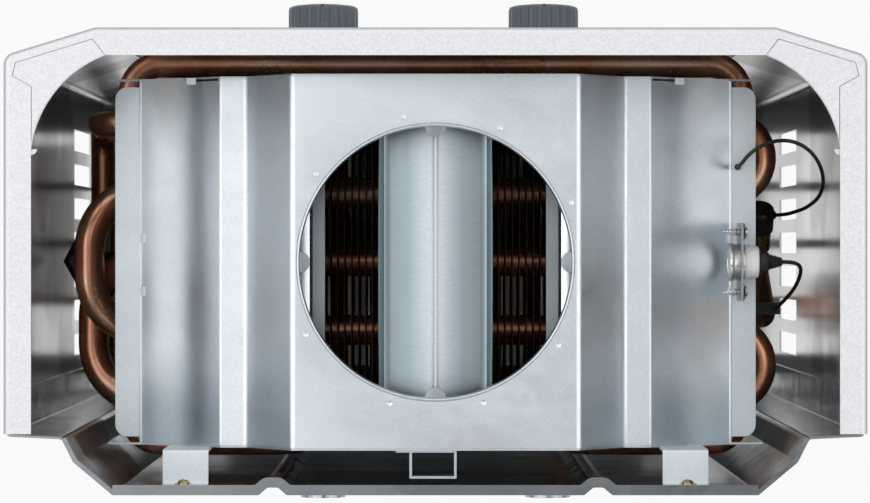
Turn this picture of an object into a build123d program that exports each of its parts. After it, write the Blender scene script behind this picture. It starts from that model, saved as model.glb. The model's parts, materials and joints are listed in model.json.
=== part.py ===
from build123d import *
import math
import os

# Gas tankless water heater. Millimetres, +Z up, the front faces -Y.
# The origin is the centre of the four wall screw holes, on the wall plane.

# Casing
CASING_WIDTH = 340
CASING_HEIGHT = 570
CASING_DEPTH = 184
SHEET = 1.0
RIM_Z = CASING_HEIGHT / 2
FLOOR_Z = -CASING_HEIGHT / 2
BACK_Y = -2.5
FRONT_Y = BACK_Y - CASING_DEPTH
SIDE_REAR_Y = BACK_Y - 24
CHAMFER_X = 134
CHAMFER_DROP = 11
FLANGE = 11
CORNER_LIP = 4.5
GUSSET_END = 48
GUSSET_CURVE_X = 150.6
GUSSET_CURVE_DROP = 26.8
GUSSET_LAP = 2.2
SEAM_GAP = 0.3
CASING_BEND = 5
RIM_BEND = 2.5

# Louvres in the casing sides
LOUVRE_COUNT = 7
LOUVRE_PITCH = 16
LOUVRE_WIDTH = 10
LOUVRE_TOP_Z = 0
LOUVRE_HEIGHT = 90
LOUVRE_MID_Y = BACK_Y - 100
POCKET_DEPTH = 3.5
POCKET_HEIGHT = 40

# Back plate
PLATE = 0.9
TRAY_FLAT_X = 127
TRAY_SHOULDER_X = 142.5
TRAY_SHOULDER_DEPTH = 13
TRAY_EDGE_X = 147
TRAY_DEPTH = 22
TRAY_BEND = 2
PLATE_EDGE_X = 168.8
PLATE_LIP = 4
SLOPE_LIP = 1.8
PLATE_RETURN = 16
RIB_X = 64
RIB_WIDTH = 11
RIB_DEPTH = 3
WALL_SCREW_X = 90
WALL_SCREW_Z = 510
WALL_HOLE_R = 3
BOSS_R = 9
SCREW_R = 1.9
SCREW_Y = BACK_Y - 31
SCREW_CLEARANCE = 0.1
SCREW_Z = 240
STRAP_X = 101
STRAP_WIDTH = 18.4
STRAP_SCREW_Z = RIM_Z - 29
SIGHT_Z = -52
SIGHT_R = 12
SPINDLE_HOLE_R = 8

# Air slots along both sides of the bottom plate
VENT_COUNT = 4
VENT_PITCH = 31
VENT_LENGTH = 26
VENT_X = (112, 158)
VENT_MARGIN = 3.5

# Hood over the exchanger
HOOD_SHEET = 0.8
HOOD_TOP_Z = RIM_Z - 35
HOOD_FLAT_X = 58
HOOD_SLOPE_X = 77
HOOD_SLOPE_DROP = 24
HOOD_STRIP_X = 88
HOOD_CURVE_X = 122
HOOD_CURVE_DROP = 26
HOOD_SAG_X = 1.2
HOOD_SAG_Z = 1.6
HOOD_END_X = 133
HOOD_TIP_X = 136
HOOD_MID_Y = BACK_Y - 91.5
HOOD_DEPTH = 150
FLANGE_BELOW = 1.6
WEB_HALF_Y = 67
HOOD_WALL_LOW_Z = RIM_Z - 92
FLUE_R = 55
COLLAR_WALL = 0.8
COLLAR_DROP = 13
STOP_R = 4.4
STOP_THICKNESS = 1
CLINCH_WIDTH = 7
HOOD_END_Z = HOOD_TOP_Z - HOOD_SLOPE_DROP - HOOD_CURVE_DROP
BEND_RISE = 9.5
BAFFLE_Z = HOOD_TOP_Z - 27
RAIL_Z = HOOD_TOP_Z - 37
STRAP_Z = HOOD_TOP_Z - 7
LEAD_SLOTS = (-10, 12)
BAFFLE_HALF_X = 23.5
RAIL_X = (45.4, 56.5)
HOOD_SIDE = Side.LEFT
STRAP_SIDE = Side.RIGHT

# Exchanger
ROW_PITCH = 30
ROW_COUNT = 5
ROW_Z = RIM_Z - 165
TUBE_R = 6.5
TUBE_WALL = 0.8
EXCHANGER_X = 119
FIN_PITCH = 3
FIN_THICKNESS = 0.4
FIN_TOP_Z = ROW_Z + 30
FIN_LOW_Z = ROW_Z - 28
SHELL_WALL = 0.8
SHELL_TOP_Z = HOOD_WALL_LOW_Z
SHELL_LOW_Z = ROW_Z - 35
SHELL_X = 117.5
SHELL_HALF_Y = 69
STUB = 8

# Copper pipes
COIL_R = 5.5
COIL_Z = RIM_Z - 130
COIL_X = 130
COIL_FRONT_Y = BACK_Y - 175.5
COIL_REAR_Y = BACK_Y - 14.5
COIL_BEND = 13
COIL_LOW_Z = -10
PIPE_BEND = 10
COLD_PIPE_X = -60
LINK_X = 60
LINK_Z = 60
LINK_SIDE_X = 150
HOT_PIPE_X = 140

# Combustion chamber and burner
CHAMBER_LOW_Z = -35
BURNER_LOW_Z = -70
BURNER_BARS = 12
BAR_PITCH = 18.5
MANIFOLD_Z = -86
MANIFOLD_Y = BACK_Y - 104
ELECTRODE_X = (-22, 22)
ELECTRODE_Z = CHAMBER_LOW_Z + 8
ELECTRODE_R = 3.2
MANIFOLD_R = 9
NOZZLE_R = 2.5
FRAME_WALL = 1.5

# Valves and knobs
KNOB_Z = RIM_Z - 410
FLAME_KNOB_X = 56
WATER_KNOB_X = -54
KNOB_R = 17.4
KNOB_LENGTH = 34
KNOB_FLUTES = 24
KNOB_GAP = 1.5
SPINDLE_R = 3
SPINDLE_FIT = 0.05
VALVE_Y = BACK_Y - 118
PUSH_ROD_R = 2
GAS_VALVE_X = (32, 80)
WATER_VALVE_X = (-82, -40)
VALVE_HALF_Z = 20
DIAPHRAGM_X = -40.5
DIAPHRAGM_R = 29
VALVE_FRONT_Y = VALVE_Y - 50
VALVE_TOP_Z = KNOB_Z + 22
SWITCH_Z = KNOB_Z + 15
SWITCH_PIN_X = -4
SWITCH_X = (-6, 14)
SWITCH_HALF_Y = 3.2

# Fittings under the casing
GAS_X = 56
COLD_X = -60
HOT_X = -118
FITTING_DROP = 28
HALF_INCH_R = 10.4
FITTING_HEX_R = 14
BATTERY_R = 16.5
BATTERY_LENGTH = 60
BOX_X = 118
BOX_HALF_X = 19.5
BOX_FRONT_Y = BACK_Y - 150
BOX_REAR_Y = BACK_Y - 76
BOX_TOP_Z = FLOOR_Z + 66
BOX_WALL = 2
HOT_PIPE_Y = BACK_Y - 67.5
HINGE_Y = BOX_REAR_Y + 2
HINGE_Z = FLOOR_Z - 2.9
HINGE_PIN_R = 1.5
MODULE_LOW_Z = 69
MODULE_HEIGHT = 31

# Overheat switch and water sensor, with their leads
STAT_Y = BACK_Y - 91.5
STAT_Z = RIM_Z - 70
STAT_R = 7.8
STAT_EARS = 24.4
STAT_PLATE_X = 125.8
STAT_FOOT_Z = HOOD_END_Z - 0.7
SENSOR_DIRECTION = (0, -0.8, 0.6)
PLUG_START = 10.1
PLUG_LENGTH = 11
NIPPLE_DIRECTION = (-0.6, 0, 0.8)
NIPPLE_REACH = 9
LEAD_R = 0.8
SENSOR_LEAD = [
    (-125.5, -133.4, 201.5),
    (-125.5, -133.4, 207.3),
    (-130, -139.5, 213),
    (-138, -143.8, 213.5),
    (-147.5, -144.2, 211.5),
    (-156.5, -139.2, 206),
    (-161.8, -130, 197.5),
    (-161.6, -121.5, 185),
    (-157, -116.8, 171),
    (-153.5, -115.3, 160),
    (-149.6, -113.98, 147.96),
    (-145.4, -113.98, 142.36),
]
STAT_LEAD = [
    (-142.7, -94, 215),
    (-147.3, -94, 215),
    (-150.7, -92.2, 212),
    (-151, -88, 205),
    (-149.4, -82.5, 194),
    (-146.8, -78, 181),
    (-145, -75.2, 170.5),
    (-144.5, -74, 163.5),
    (-144.5, -74, 158),
]

FOLDER = "parts"
left = 1
right = -1


def ring(outer, inner):
    """A flat ring for a hollow pipe or collar."""
    return Circle(outer) - Circle(inner)


def box(x1, x2, y1, y2, z1, z2):
    """A block between two opposite corners."""
    middle = ((x1 + x2) / 2, (y1 + y2) / 2, (z1 + z2) / 2)
    return Pos(*middle) * Box(abs(x2 - x1), abs(y2 - y1), abs(z2 - z1))


def rod(start, direction, radius, length):
    """A round bar from its start point along a direction."""
    return extrude(Plane(origin=start, z_dir=direction) * Circle(radius), amount=length)


def tube(start, direction, outer, inner, length):
    """A hollow round bar from its start point along a direction."""
    return extrude(Plane(origin=start, z_dir=direction) * ring(outer, inner), amount=length)


def pipe(points, bend, outer, wall):
    """A bent pipe along straight runs joined by bends of one radius."""
    path = FilletPolyline(*points, radius=bend)
    section = Plane(origin=path @ 0, z_dir=path % 0) * ring(outer, outer - wall)
    return sweep(section, path=path)


def folded(points, thickness, side, radius):
    """The outline of a folded sheet, with the points on its outer skin."""
    skin = FilletPolyline(*points, radius=radius)
    return make_face(offset(skin, amount=thickness, side=side, closed=True))


def mirrored(shape):
    """The same shape on the other side of the middle plane."""
    return mirror(shape, about=Plane.YZ)


def save(name, *solids):
    """Writes one sub-part, as one solid or as a group of separate ones."""
    shape = solids[0] if len(solids) == 1 else Compound(children=list(solids))
    export_step(shape, os.path.join(FOLDER, name + ".step"))


def corner_seam(side):
    """Where the flange stops and the corner gusset begins, from front to side."""
    edge = CASING_WIDTH / 2 - FLANGE
    points = [
        (129.7, FRONT_Y + FLANGE),
        (134.8, FRONT_Y + CORNER_LIP),
        (165.2, FRONT_Y + CORNER_LIP + 9.3),
        (166.6, FRONT_Y + 19.2),
        (edge, FRONT_Y + 23.4),
    ]
    return [(side * x, y) for x, y in points]


def casing_outline():
    """The casing's skin in plan, from one rear edge round the front to the other."""
    half = CASING_WIDTH / 2
    corner = FRONT_Y + CHAMFER_DROP
    return [(half, SIDE_REAR_Y), (half, corner), (CHAMFER_X, FRONT_Y),
            (-CHAMFER_X, FRONT_Y), (-half, corner), (-half, SIDE_REAR_Y)]


def casing_block(inset):
    """The casing filled up, with rounded top and bottom edges, or what is inside its sheet."""
    skin = FilletPolyline(*casing_outline(), radius=CASING_BEND)
    end_1, end_0 = (skin @ 1) + Vector(0, RIM_BEND * 2), (skin @ 0) + Vector(0, RIM_BEND * 2)
    plan = make_face(skin + Polyline(skin @ 1, end_1, end_0, skin @ 0))
    plan = offset(plan, amount=-inset) if inset else plan
    block = Pos(0, 0, FLOOR_Z + inset) * extrude(plan, amount=CASING_HEIGHT - 2 * inset)
    ends = block.edges().group_by(Axis.Z)
    return fillet(ends[0] + ends[-1], radius=RIM_BEND - inset)


def top_opening():
    """The open top between the flanges and the gussets' seams."""
    edge = CASING_WIDTH / 2 - FLANGE
    opening = corner_seam(left) + [(edge, 0), (-edge, 0)] + corner_seam(right)[::-1]
    return make_face(Polyline(*opening, close=True))


def bottom_opening():
    """The open bottom inside its narrow flange."""
    edge = CASING_WIDTH / 2 - FLANGE
    corner = FRONT_Y + 24
    front = FRONT_Y + FLANGE
    return make_face(Polyline((edge, 0), (edge, corner), (124, front), (-124, front), (-edge, corner),
                              (-edge, 0), close=True))


def louvre_pocket():
    """One hooded louvre on the +X side, open downwards, and the cavity in it."""
    wall = CASING_WIDTH / 2
    top = LOUVRE_TOP_Z
    low = top - POCKET_HEIGHT
    outside = [(wall - SHEET, top + 2), (wall, top + 2), (wall + POCKET_DEPTH, top - 8),
               (wall + POCKET_DEPTH, low), (wall - SHEET, low)]
    inside = [(wall - 2 * SHEET, top), (wall - SHEET, top), (wall + POCKET_DEPTH - SHEET, top - 8.5),
              (wall + POCKET_DEPTH - SHEET, low - 1), (wall - 2 * SHEET, low - 1)]
    shell = extrude(Plane.XZ * make_face(Polyline(*outside, close=True)),
                    amount=LOUVRE_WIDTH / 2 + SHEET, both=True)
    cavity = extrude(Plane.XZ * make_face(Polyline(*inside, close=True)),
                     amount=LOUVRE_WIDTH / 2, both=True)
    slot = box(wall - 2 * SHEET, wall + 1, -LOUVRE_WIDTH / 2, LOUVRE_WIDTH / 2,
               top - LOUVRE_HEIGHT, top)
    return shell, cavity, slot


def front_cover():
    """Casing front and sides with its flanges, louvres and openings."""
    cover = casing_block(0) - casing_block(SHEET)
    cover -= Pos(0, 0, RIM_Z - 2 * SHEET) * extrude(top_opening(), amount=3 * SHEET)
    cover -= Pos(0, 0, FLOOR_Z - SHEET) * extrude(bottom_opening(), amount=3 * SHEET)
    cover -= box(-CASING_WIDTH, CASING_WIDTH, SIDE_REAR_Y, 0, FLOOR_Z - 1, RIM_Z + 1)
    shell, cavity, slot = louvre_pocket()
    for index in range(LOUVRE_COUNT):
        y = LOUVRE_MID_Y + (index - (LOUVRE_COUNT - 1) / 2) * LOUVRE_PITCH
        outside = Pos(0, y, 0) * shell
        inside = Pos(0, y, 0) * (cavity + slot - (shell - cavity))
        cover += outside
        cover -= inside
        cover += mirrored(outside)
        cover -= mirrored(inside)
    for x in (FLAME_KNOB_X, WATER_KNOB_X):
        cover -= rod((x, FRONT_Y - 1, KNOB_Z), (0, 1, 0), SPINDLE_HOLE_R, 4)
    cover -= rod((0, FRONT_Y - 1, SIGHT_Z), (0, 1, 0), SIGHT_R, 4)
    for x, z in side_screw_places():
        cover -= rod((x * 1.05, SCREW_Y, z), (-x, 0, 0), SCREW_R + SCREW_CLEARANCE, 20)
    return cover


def side_screw_places():
    """Where the screws go through the casing's sides."""
    half = CASING_WIDTH / 2
    return [(side * half, z) for side in (left, right) for z in (-SCREW_Z, SCREW_Z)]


def corner_gusset(side):
    """The plate that fills one front corner of the flange, lapped under it."""
    seam = corner_seam(side)
    end = (seam[-1][0], FRONT_Y + GUSSET_END)
    curve = ThreePointArc(end, (side * GUSSET_CURVE_X, FRONT_Y + GUSSET_CURVE_DROP), seam[0])
    corner = make_face(Polyline(*seam, end) + curve)
    top = offset(corner, amount=-SEAM_GAP)
    lap = offset(corner, amount=GUSSET_LAP)
    middle = make_face(curve + Polyline(seam[0], (0, FRONT_Y + FLANGE), (0, end[1]), end))
    plate = Pos(0, 0, RIM_Z - SHEET) * extrude(top, amount=SHEET)
    under = Pos(0, 0, RIM_Z - 2 * SHEET) * extrude(lap - middle, amount=SHEET)
    room = Pos(0, 0, SEAM_GAP) * casing_block(SHEET + SEAM_GAP)
    return plate + (under & room)


def tray_outline():
    """The back plate's rear skin in plan, from one forward return to the other."""
    half = [(PLATE_EDGE_X, SIDE_REAR_Y - PLATE_RETURN), (PLATE_EDGE_X, BACK_Y - TRAY_DEPTH - 1),
            (TRAY_EDGE_X, BACK_Y - TRAY_DEPTH), (TRAY_SHOULDER_X, BACK_Y - TRAY_SHOULDER_DEPTH),
            (TRAY_FLAT_X, BACK_Y),
            (RIB_X + RIB_WIDTH / 2, BACK_Y), (RIB_X + 2, BACK_Y - RIB_DEPTH),
            (RIB_X - 2, BACK_Y - RIB_DEPTH), (RIB_X - RIB_WIDTH / 2, BACK_Y)]
    return half + [(-x, y) for x, y in half[::-1]]


def back_plate():
    """Tray that hangs on the wall, with ribs, bosses and top and bottom flanges."""
    plate = Pos(0, 0, FLOOR_Z + SHEET) * extrude(
        folded(tray_outline(), PLATE, Side.LEFT, TRAY_BEND), amount=CASING_HEIGHT - SHEET)
    lip = extrude(folded(tray_outline()[4:-4], PLATE_LIP, Side.LEFT, 1), amount=PLATE)
    lip += extrude(folded(tray_outline()[2:-2], SLOPE_LIP, Side.LEFT, 1), amount=PLATE)
    plate += Pos(0, 0, RIM_Z - PLATE) * lip
    plate += Pos(0, 0, FLOOR_Z + SHEET) * lip
    covered = box(-CASING_WIDTH / 2, CASING_WIDTH / 2, FRONT_Y, SIDE_REAR_Y + 0.2, FLOOR_Z, RIM_Z)
    plate -= covered - casing_block(SHEET + SEAM_GAP)
    for x in (-WALL_SCREW_X / 2, WALL_SCREW_X / 2):
        for z in (-WALL_SCREW_Z / 2, WALL_SCREW_Z / 2):
            plate += rod((x, BACK_Y - PLATE, z), (0, 1, 0), BOSS_R, PLATE - BACK_Y)
            plate -= rod((x, BACK_Y - 2 * PLATE, z), (0, 1, 0), BOSS_R - PLATE, PLATE - BACK_Y)
            plate -= rod((x, BACK_Y - 3, z), (0, 1, 0), WALL_HOLE_R, 10)
    for side in (left, right):
        plate -= rod((side * STRAP_X, BACK_Y - 3, STRAP_SCREW_Z), (0, 1, 0), SCREW_R + SCREW_CLEARANCE, 6)
    for x, z in side_screw_places():
        plate -= rod((x * 1.05, SCREW_Y, z), (-x, 0, 0), SCREW_R + SCREW_CLEARANCE, 20)
    return plate


def air_slots():
    """Long air slots in the bottom plate, clear of the battery box and the hot water outlet."""
    low, high = FLOOR_Z - 1, FLOOR_Z + 8
    slots = []
    for index in range(VENT_COUNT):
        y = LOUVRE_MID_Y + (index - (VENT_COUNT - 1) / 2) * VENT_PITCH
        slots.append(box(*VENT_X, y - VENT_LENGTH / 2, y + VENT_LENGTH / 2, low, high))
    beside_box = box(0, BOX_X + BOX_HALF_X + VENT_MARGIN, BOX_FRONT_Y - VENT_MARGIN,
                     BOX_REAR_Y + 2 * VENT_MARGIN, low - 1, high + 1)
    round_outlet = rod((HOT_X, HOT_PIPE_Y, low - 1), (0, 0, 1), HALF_INCH_R + 2 * VENT_MARGIN, high - low + 2)
    return [slot - beside_box for slot in slots] + [mirrored(slot) - round_outlet for slot in slots]


def bottom_plate():
    """Plate over the bottom flanges, with the holes for what comes out below."""
    half = [(162, -32), (148, -32), (123, BACK_Y - 5.5), (0, BACK_Y - 5.5)]
    front = [(0, FRONT_Y + 4), (131, FRONT_Y + 4), (162, FRONT_Y + 14)]
    outline = half + [(-x, y) for x, y in half[-2::-1]] + [(-x, y) for x, y in front[:0:-1]] + front
    plate = extrude(make_face(Polyline(*outline, close=True)), amount=1.2)
    plate = Pos(0, 0, FLOOR_Z + SHEET + PLATE) * plate
    for x, y in ((GAS_X, VALVE_Y), (COLD_X, VALVE_Y), (HOT_X, HOT_PIPE_Y)):
        plate -= rod((x, y, FLOOR_Z - 1), (0, 0, 1), HALF_INCH_R + 0.3, 8)
    plate -= box(BOX_X - BOX_HALF_X - 0.5, BOX_X + BOX_HALF_X + 0.5, BOX_FRONT_Y - 0.5, BOX_REAR_Y + 0.5,
                 FLOOR_Z - 1, FLOOR_Z + 8)
    for slot in air_slots():
        plate -= slot
    return plate


def screw(start, direction, length, head_r, head_h):
    """A washer-headed self-tapping screw with a pointed end."""
    plane = Plane(origin=start, z_dir=direction)
    profile = Polyline((0, -head_h), (head_r * 0.55, -head_h), (head_r, -head_h * 0.35), (head_r, 0),
                       (SCREW_R, 0), (SCREW_R, length - 3), (0.3, length), (0, length), close=True)
    body = revolve(Plane.XZ * make_face(profile), axis=Axis.Z)
    slot = Pos(0, 0, -head_h) * (Box(head_r, 0.7, 1) + Box(0.7, head_r, 1))
    return plane.location * (body - slot)


def cover_screws():
    """Four screws that hold the front cover to the back plate."""
    half = CASING_WIDTH / 2
    return [screw((x, SCREW_Y, z), (-x, 0, 0), 9, 3.6, 1.8) for x, z in side_screw_places()]


def curve_middle():
    """The middle of the hood's hollow outer curve, as X and Z."""
    x = (HOOD_STRIP_X + HOOD_CURVE_X) / 2 - HOOD_SAG_X
    return x, HOOD_TOP_Z - HOOD_SLOPE_DROP - HOOD_CURVE_DROP / 2 - HOOD_SAG_Z


def hood_skin():
    """The hood's upper skin across the casing, as lines and two shallow hollow arcs."""
    strip_z = HOOD_TOP_Z - HOOD_SLOPE_DROP
    end = (HOOD_CURVE_X, strip_z - HOOD_CURVE_DROP)
    half = [ThreePointArc(end, curve_middle(), (HOOD_STRIP_X, strip_z)),
            Line((HOOD_STRIP_X, strip_z), (HOOD_SLOPE_X, strip_z)),
            Line((HOOD_SLOPE_X, strip_z), (HOOD_FLAT_X, HOOD_TOP_Z))]
    other = [mirror(edge, about=Plane.YZ) for edge in half]
    return half + [Line((HOOD_FLAT_X, HOOD_TOP_Z), (-HOOD_FLAT_X, HOOD_TOP_Z))] + other[::-1]


def hood_cover():
    """Folded sheet over the exchanger with the flue hole in its flat top."""
    skin = Wire([edge.edge() for edge in hood_skin()])
    profile = make_face(offset(skin, amount=HOOD_SHEET, side=HOOD_SIDE, closed=True))
    cover = Pos(0, HOOD_MID_Y, 0) * extrude(Plane.XZ * profile, amount=HOOD_DEPTH / 2, both=True)
    hole = FLUE_R + COLLAR_WALL + 0.05
    cover -= rod((0, HOOD_MID_Y, HOOD_TOP_Z - 5), (0, 0, 1), hole, 10)
    for side in (left, right):
        for offset_y in LEAD_SLOTS:
            place = Pos(side * (HOOD_CURVE_X - 1), HOOD_MID_Y + offset_y, HOOD_END_Z)
            cover -= place * Box(1.6, 4, 8)
    return cover


def hood_end(side):
    """The flanged end of the hood, with a short web down into the exchanger."""
    corner_y = HOOD_DEPTH / 2 - 2.5
    face = Rectangle(HOOD_END_X - HOOD_CURVE_X + 6, 2 * corner_y)
    outer = face.vertices().sort_by(Axis.X)[-2:]
    face = fillet(outer, radius=5)
    flange = Pos((HOOD_END_X + HOOD_CURVE_X - 6) / 2, HOOD_MID_Y, HOOD_END_Z - FLANGE_BELOW) * extrude(
        face, amount=HOOD_SHEET)
    inner_x = HOOD_CURVE_X - 6.2
    web = box(inner_x, inner_x + HOOD_SHEET, HOOD_MID_Y - WEB_HALF_Y, HOOD_MID_Y + WEB_HALF_Y,
              SHELL_TOP_Z - 6, HOOD_END_Z - FLANGE_BELOW)
    end = flange + web
    return end if side == left else mirrored(end)


def hood_wall(side):
    """A thin upright wall at the hood's front or rear, with pointed ends."""
    strip_z = HOOD_TOP_Z - HOOD_SLOPE_DROP
    low = SHELL_TOP_Z + 0.2
    middle_x, middle_z = curve_middle()
    half = [(HOOD_TIP_X, HOOD_END_Z - 2), (HOOD_CURVE_X, HOOD_END_Z + 0.6), (middle_x, middle_z - 0.2),
            (HOOD_STRIP_X, strip_z - 0.6), (HOOD_SLOPE_X, strip_z - 0.6), (HOOD_FLAT_X, HOOD_TOP_Z - 0.4)]
    outline = half + [(-x, z) for x, z in half[::-1]]
    outline += [(-HOOD_CURVE_X, low), (HOOD_CURVE_X, low)]
    wall = extrude(Plane.XZ * make_face(Polyline(*outline, close=True)), amount=HOOD_SHEET / 2, both=True)
    y = HOOD_MID_Y + side * (HOOD_DEPTH / 2 + HOOD_SHEET / 2)
    return Pos(0, y, 0) * wall


def flue_collar():
    """Short wall round the flue hole, with a clinched ring below and four stops."""
    low = HOOD_TOP_Z - COLLAR_DROP
    outer = FLUE_R + COLLAR_WALL
    collar = tube((0, HOOD_MID_Y, low), (0, 0, 1), outer, FLUE_R, COLLAR_DROP)
    under = HOOD_TOP_Z - 2 * HOOD_SHEET
    plate = tube((0, HOOD_MID_Y, under), (0, 0, 1), FLUE_R + CLINCH_WIDTH, FLUE_R, HOOD_SHEET)
    reach = HOOD_FLAT_X - 2
    collar += plate & box(-reach, reach, -300, 0, under - 1, under + 2)
    for angle in range(0, 360, 90):
        stop = Pos(FLUE_R + 0.3, 0, low) * extrude(Circle(STOP_R), amount=-STOP_THICKNESS)
        stop &= Pos(0, 0, low) * extrude(Circle(outer), amount=-STOP_THICKNESS)
        collar += Pos(0, HOOD_MID_Y, 0) * Rot(0, 0, angle) * stop
    return collar


def hood_baffle():
    """Ridged strip under the flue hole that turns the burnt gas aside."""
    z = BAFFLE_Z
    edge, trough = BAFFLE_HALF_X, BAFFLE_HALF_X - 2.5
    points = [(-edge, z + 3.5), (-trough, z), (0, z + 5), (trough, z), (edge, z + 3.5)]
    strip = extrude(Plane.XZ * folded(points, HOOD_SHEET, HOOD_SIDE, 0.9), amount=HOOD_DEPTH / 2 - 0.2,
                    both=True)
    return Pos(0, HOOD_MID_Y, 0) * strip


def baffle_rails():
    """Two angle rails beside the strip, from the hood's front wall to its rear wall."""
    reach = HOOD_DEPTH / 2 - 0.2
    y1, y2 = HOOD_MID_Y - reach, HOOD_MID_Y + reach
    x1, x2 = RAIL_X
    rail = box(x1, x2, y1, y2, RAIL_Z, RAIL_Z + HOOD_SHEET)
    rail += box(x1 + 5.3, x1 + 5.3 + HOOD_SHEET, y1, y2, RAIL_Z - 12, RAIL_Z)
    return [rail, mirrored(rail)]


def hood_strap(side):
    """Stepped strap from the hood's rear wall up to the back plate."""
    wall_y = HOOD_MID_Y + HOOD_DEPTH / 2 + HOOD_SHEET
    end_y = BACK_Y - PLATE - 0.1
    points = [(wall_y, HOOD_END_Z + 4), (wall_y, STRAP_Z), (end_y - PLATE, STRAP_Z),
              (end_y - PLATE, RIM_Z - 19)]
    profile = folded(points, PLATE, STRAP_SIDE, 1.2)
    strap = extrude(Plane.YZ * profile, amount=STRAP_WIDTH / 2, both=True)
    strap -= rod((0, end_y - 4, STRAP_SCREW_Z), (0, 1, 0), SCREW_R + SCREW_CLEARANCE, 6)
    return Pos(side * STRAP_X, 0, 0) * strap


def strap_screws():
    """Two screws through the straps, with their points out behind the plate."""
    y = BACK_Y - PLATE - 0.1 - PLATE
    length = -y - 0.3
    return [screw((side * STRAP_X, y, STRAP_SCREW_Z), (0, 1, 0), length, 3.6, 2.2)
            for side in (left, right)]


def rear_stay():
    """U-shaped strip on the hood's rear wall."""
    y1 = HOOD_MID_Y + HOOD_DEPTH / 2 + HOOD_SHEET
    y2 = y1 + 11.5
    outside = box(-8.5, 10.5, y1, y2, HOOD_TOP_Z - 14, HOOD_TOP_Z - 4)
    inside = box(-7.5, 9.5, y1 - 1, y2 - 1, HOOD_TOP_Z - 15, HOOD_TOP_Z)
    foot = box(-8.5, 16, y1, y1 + 1, HOOD_TOP_Z - 14, HOOD_TOP_Z - 4)
    return outside - inside + foot


def row_places():
    """The tube rows from the front to the rear."""
    return [HOOD_MID_Y + (index - (ROW_COUNT - 1) / 2) * ROW_PITCH for index in range(ROW_COUNT)]


def exchanger_shell():
    """Copper box round the fins, open above and below."""
    y1, y2 = HOOD_MID_Y - SHELL_HALF_Y, HOOD_MID_Y + SHELL_HALF_Y
    shell = box(-SHELL_X, SHELL_X, y1, y2, SHELL_LOW_Z, SHELL_TOP_Z)
    shell -= box(-SHELL_X + SHELL_WALL, SHELL_X - SHELL_WALL, y1 + SHELL_WALL, y2 - SHELL_WALL,
                 SHELL_LOW_Z - 1, SHELL_TOP_Z + 1)
    for y in row_places():
        shell -= rod((-SHELL_X - 5, y, ROW_Z), (1, 0, 0), TUBE_R + 0.05, 2 * SHELL_X + 10)
    return shell


def exchanger_fins():
    """Thin upright fins across the tubes, from end to end of the shell."""
    half_y = SHELL_HALF_Y - SHELL_WALL - 0.3
    fin = box(0, FIN_THICKNESS, HOOD_MID_Y - half_y, HOOD_MID_Y + half_y, FIN_LOW_Z, FIN_TOP_Z)
    for y in row_places():
        fin -= rod((-5, y, ROW_Z), (1, 0, 0), TUBE_R + 0.05, 10)
    steps = int((SHELL_X - 3) / FIN_PITCH)
    return [Pos(index * FIN_PITCH - FIN_THICKNESS / 2, 0, 0) * fin for index in range(-steps, steps + 1)]


def exchanger_tubes():
    """The straight tubes through the fins, one for each row."""
    tubes = []
    for y in row_places():
        tubes.append(tube((-EXCHANGER_X - STUB, y, ROW_Z), (1, 0, 0), TUBE_R, TUBE_R - TUBE_WALL,
                          2 * EXCHANGER_X + STUB))
    return tubes


def wide_bend(first, last, rise):
    """A return bend on the +X side between two rows, tilted clear of its neighbour."""
    y1, y2 = row_places()[first], row_places()[last]
    near, far = EXCHANGER_X + 5.5, EXCHANGER_X + 31
    points = [(EXCHANGER_X, y1, ROW_Z), (near, y1, ROW_Z), (far, y1, ROW_Z + rise),
              (far, y2, ROW_Z + rise), (near, y2, ROW_Z), (EXCHANGER_X, y2, ROW_Z)]
    return pipe(points, [12, 24.5, 24.5, 12], TUBE_R, TUBE_WALL)


def close_bend(first, last):
    """A return bend on the -X side between two neighbouring rows."""
    y1, y2 = row_places()[first], row_places()[last]
    near = -EXCHANGER_X - STUB
    far = near - ROW_PITCH / 2
    points = [(near, y1, ROW_Z), (far, y1, ROW_Z), (far, y2, ROW_Z), (near, y2, ROW_Z)]
    return pipe(points, ROW_PITCH / 2 - 0.1, TUBE_R, TUBE_WALL)


def chamber_coil():
    """Copper pipe up the rear, once round the hood, down and back to the first row."""
    first = row_places()[0]
    points = [
        (COLD_PIPE_X, COIL_REAR_Y, COIL_LOW_Z),
        (COLD_PIPE_X, COIL_REAR_Y, COIL_Z),
        (-COIL_X, COIL_REAR_Y, COIL_Z),
        (-COIL_X, COIL_FRONT_Y, COIL_Z),
        (COIL_X, COIL_FRONT_Y, COIL_Z),
        (COIL_X, COIL_REAR_Y, COIL_Z),
        (LINK_X, COIL_REAR_Y, COIL_Z),
        (LINK_X, COIL_REAR_Y, LINK_Z),
        (LINK_SIDE_X - 22, COIL_REAR_Y, LINK_Z),
        (LINK_SIDE_X, COIL_REAR_Y - 30, LINK_Z),
        (LINK_SIDE_X, first, LINK_Z),
        (LINK_SIDE_X - 4, first, ROW_Z),
        (EXCHANGER_X, first, ROW_Z),
    ]
    return pipe(points, COIL_BEND, COIL_R, TUBE_WALL)


def hot_pipe():
    """Copper pipe from the middle row down to the hot outlet."""
    middle = row_places()[2]
    points = [
        (-EXCHANGER_X - STUB, middle, ROW_Z),
        (-HOT_PIPE_X, middle, ROW_Z),
        (-HOT_PIPE_X, middle, ROW_Z - 24),
        (-HOT_PIPE_X - 8, HOT_PIPE_Y, ROW_Z - 70),
        (-HOT_PIPE_X - 8, HOT_PIPE_Y, FLOOR_Z + 90),
        (HOT_X, HOT_PIPE_Y, FLOOR_Z + 50),
        (HOT_X, HOT_PIPE_Y, FLOOR_Z + 24),
    ]
    return pipe(points, PIPE_BEND, TUBE_R, TUBE_WALL)


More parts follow.
